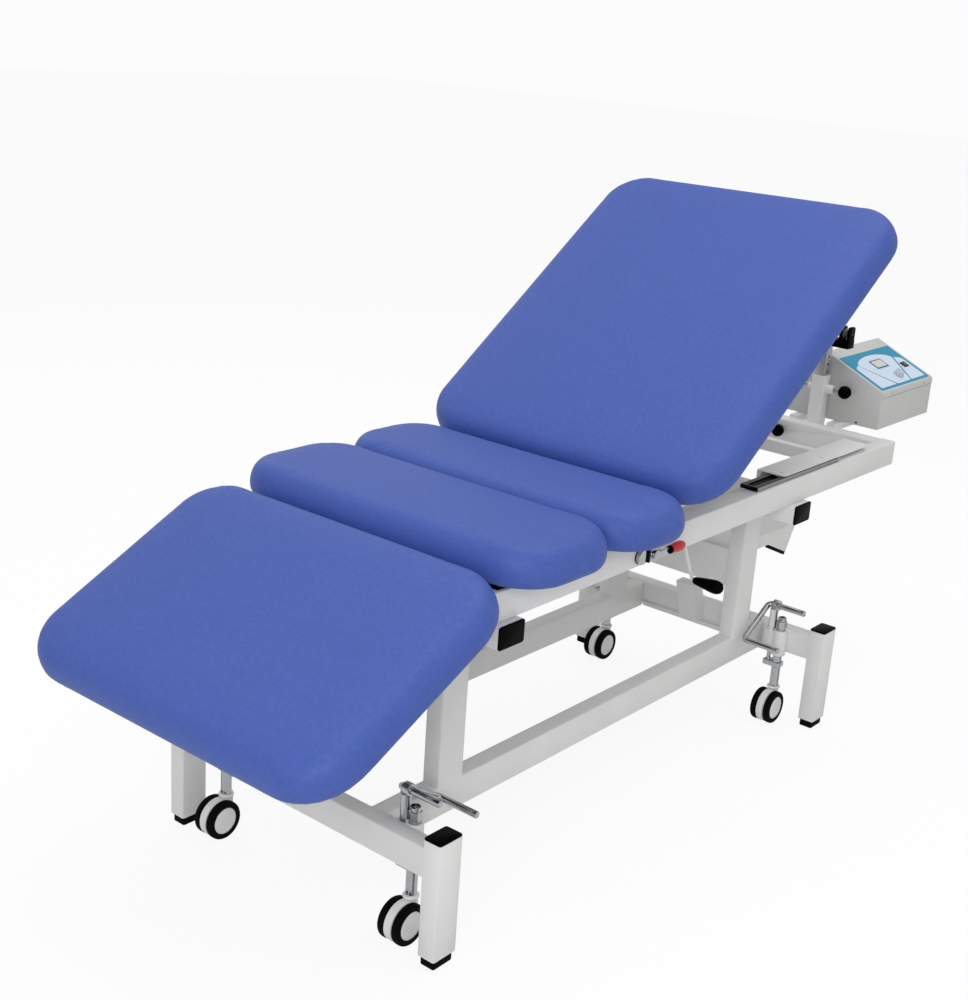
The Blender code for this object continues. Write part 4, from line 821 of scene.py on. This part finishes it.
# Rocker: dark red transparent polycarbonate over a lamp, almost black when unlit.
dark_red, tree, shader, place = start("dark red polycarbonate", IOR=1.58)
depth = add(tree, "ShaderNodeTexNoise", {"Vector": place, "Scale": 1 / 0.006})
surfaced(tree, shader, depth.outputs["Fac"], ("#38060C", "#560B14"), depth.outputs["Fac"], (0.12, 0.22))
settle("power_switch_moulded", eased("power_switch", 0.0006), [dark_red], "power_switch")

# Lock clamp and release lever
# A chromed clamp on the near rail with a red-gripped lever locks the carriage; a bent white rod with a
# moulded teardrop handle hangs from the carriage and releases the back section's spring.

# Polypropylene: an even bright red with faint flow marks and a soft gloss.
red_plastic, tree, shader, place = start("moulded red polypropylene", IOR=1.49)
flow = add(tree, "ShaderNodeTexNoise", {"Vector": place, "Scale": 1 / 0.006, "Detail": 3.0})
surfaced(tree, shader, flow.outputs["Fac"], ("#B81E28", "#CE2A33"), flow.outputs["Fac"], (0.28, 0.42))

# The clamp's foot end is a round turned plate. The dark disc behind it is a little wider than the plate and
# is painted shadow for the gap at its rim. A dark seam parts it from the bored block.
clamp_at = Vector((FOOT_X + 0.657, -0.3013, 0.614))
plate_at = clamp_at + Vector((-0.034, 0.0, 0.0))
bm = eased("lock_clamp", 0.0006)
cut = bmesh.ops.bisect_plane(bm, geom=bm.verts[:] + bm.edges[:] + bm.faces[:], plane_no=(-1, 0, 0),
                             plane_co=clamp_at + Vector((-0.020, 0, 0)), clear_outer=True)
bmesh.ops.edgeloop_fill(bm, edges=[e for e in cut["geom_cut"] if isinstance(e, bmesh.types.BMEdge)])
# Painted shadow: a dark disc, wider than the plate, shows as a dark rim round it.
turn_in(bm, ((0.0, 0.0), (0.0160, 0.0), (0.0160, -0.0020), (0.0, -0.0020)), plate_at, "y", 48, 1)
turn_in(bm, ((0.0, -0.0018), (0.0152, -0.0018), (0.0154, -0.0024), (0.0154, -0.0090), (0.0146, -0.0100),
             (0.0, -0.0106)), plate_at, "y", 48, 0)
block_in(bm, clamp_at + Vector((-0.0206, -0.0142, -0.0132)), clamp_at + Vector((-0.0160, 0.0, 0.0132)),
         0.0004, 1)
settle("lock_clamp_plated", bm, [chrome_plate, black_oxide], "lock_clamp")

bm = bmesh.new()
turn_in(bm, ((0.0, -0.0206), (0.0090, -0.0204), (0.0100, -0.0194), (0.0100, -0.0143), (0.0040, -0.0143),
             (0.0040, -0.0050), (0.0, -0.0050)), clamp_at, "y", 40, 0)
block_in(bm, clamp_at + Vector((0.0, -0.0195, -0.0060)), clamp_at + Vector((0.050, -0.0148, 0.0060)),
         0.0012, 0)
grip_at = clamp_at + Vector((0.0, -0.0172, 0.0))
turn_in(bm, ((0.0, 0.0440), (0.0074, 0.0440), (0.0084, 0.0452), (0.0086, 0.0500), (0.0078, 0.0512),
             (0.0, 0.0512)), grip_at, "x", 40, 2)
turn_in(bm, ((0.0, 0.0508), (0.0076, 0.0510), (0.0092, 0.0590), (0.0103, 0.0700), (0.0105, 0.0800),
             (0.0098, 0.0890), (0.0074, 0.0950), (0.0040, 0.0976), (0.0, 0.0982)), grip_at, "x", 40, 1)
settle("lock_lever_gripped", bm, [chrome_plate, red_plastic, black_plastic], "lock_lever")

pivot = Vector((FOOT_X + 0.880, -0.238, 0.582))
elbow = pivot + Vector((0.062, 0.0, -0.116))
bm = bmesh.new()
bar_in(bm, (pivot + Vector((0.0, 0.024, 0.0)), pivot, elbow, elbow + Vector((0.0, -0.016, 0.0))),
       0.004, 0.006, 24, 10, 0)
turn_in(bm, ((0.0, 0.0040), (0.0056, 0.0040), (0.0072, 0.0054), (0.0086, 0.0100), (0.0110, 0.0240),
             (0.0132, 0.0400), (0.0147, 0.0500), (0.0152, 0.0570), (0.0146, 0.0650), (0.0120, 0.0715),
             (0.0070, 0.0757), (0.0, 0.0770)), elbow, (0.0, -1.0, 0.0), 48, 1)
settle("release_lever_gripped", bm, [powder_coat, black_plastic], "release_lever")

# Screws
# Button-head socket screws, turned from steel, hold the carriage tabs to the slides and the console's lid
# and foot wall; they are zinc-plated, and black on the foot wall.
screws = bpy.data.node_groups.new("button-head screws", "GeometryNodeTree")
screws.interface.new_socket("Geometry", in_out="INPUT", socket_type="NodeSocketGeometry")
for name in ("Head radius", "Head height", "Socket radius"):
    screws.interface.new_socket(name, in_out="INPUT", socket_type="NodeSocketFloat")
screws.interface.new_socket("Finish", in_out="INPUT", socket_type="NodeSocketMaterial")
screws.interface.new_socket("Geometry", in_out="OUTPUT", socket_type="NodeSocketGeometry")
given = add(screws, "NodeGroupInput", {}).outputs
waist = add(screws, "ShaderNodeMath", {0: given["Head radius"], 1: 0.62}, operation="MULTIPLY")
head = add(screws, "GeometryNodeMeshCone",
           {"Vertices": 32, "Radius Top": waist.outputs[0], "Radius Bottom": given["Head radius"],
            "Depth": given["Head height"]})
hexagon = add(screws, "GeometryNodeMeshCylinder", {"Vertices": 6, "Radius": given["Socket radius"],
                                                   "Depth": given["Head height"]})
lift = add(screws, "ShaderNodeCombineXYZ", {"Z": given["Head height"]})
raised = add(screws, "GeometryNodeTransform",
             {"Geometry": hexagon.outputs[0], "Translation": lift.outputs[0]})
drilled = add(screws, "GeometryNodeMeshBoolean", {0: head.outputs[0]}, operation="DIFFERENCE")
screws.links.new(raised.outputs[0], drilled.inputs["Mesh 2"])
facing = add(screws, "GeometryNodeInputNamedAttribute", {"Name": "facing"}, data_type="FLOAT_VECTOR")
turned = add(screws, "FunctionNodeAlignRotationToVector", {"Vector": facing.outputs[0]}, axis="Z")
placed = add(screws, "GeometryNodeInstanceOnPoints",
             {"Points": given["Geometry"], "Instance": drilled.outputs[0], "Rotation": turned.outputs[0]})
solid = add(screws, "GeometryNodeRealizeInstances", {"Geometry": placed.outputs[0]})
coated = add(screws, "GeometryNodeSetMaterial", {"Geometry": solid.outputs[0], "Material": given["Finish"]})
add(screws, "NodeGroupOutput", {"Geometry": coated.outputs[0]})

upward = (0.0, 0.0, 1.0)
tab_top = 0.6644
tab_screws = [((FOOT_X + x, y, tab_top - 0.0018), upward) for x in (1.222, 1.410) for y in (-0.2725, 0.2725)]
lid_screws = [((CASE_FOOT + x, CASE_NEAR - 0.0012, CASE_NEAR_TOP - 0.0090), (0.0, -1.0, 0.0))
              for x in (0.055, 0.245)]
foot_screws = [((CASE_FOOT + 0.0004, -0.170, 0.6650), (-1.0, 0.0, 0.0))]
for name, spots, body, radius, finish in (
        ("carriage_screws", tab_screws, "carriage", 0.0042, zinc),
        ("lid_screws", lid_screws, body_of["console_case"], 0.0028, zinc),
        ("case_foot_screw", foot_screws, body_of["console_case"], 0.0032, black_oxide)):
    points = bpy.data.meshes.new(name + "_points")
    points.from_pydata([spot for spot, way in spots], [], [])
    facing = points.attributes.new("facing", "FLOAT_VECTOR", "POINT")
    facing.data.foreach_set("vector", [c for spot, way in spots for c in way])
    seeds = bpy.data.objects.new(name + "_points", points)
    scene.collection.objects.link(seeds)
    run = seeds.modifiers.new("screws", "NODES")
    run.node_group = screws
    for item in screws.interface.items_tree:
        if item.in_out == "INPUT" and item.name != "Geometry":
            run[item.identifier] = {"Head radius": radius, "Head height": radius * 0.55,
                                    "Socket radius": radius * 0.45, "Finish": finish}[item.name]
    made = evaluated(seeds)
    bpy.data.objects.remove(seeds)
    piece = bpy.data.objects.new(name, made)
    scene.collection.objects.link(piece)
    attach(piece, body)
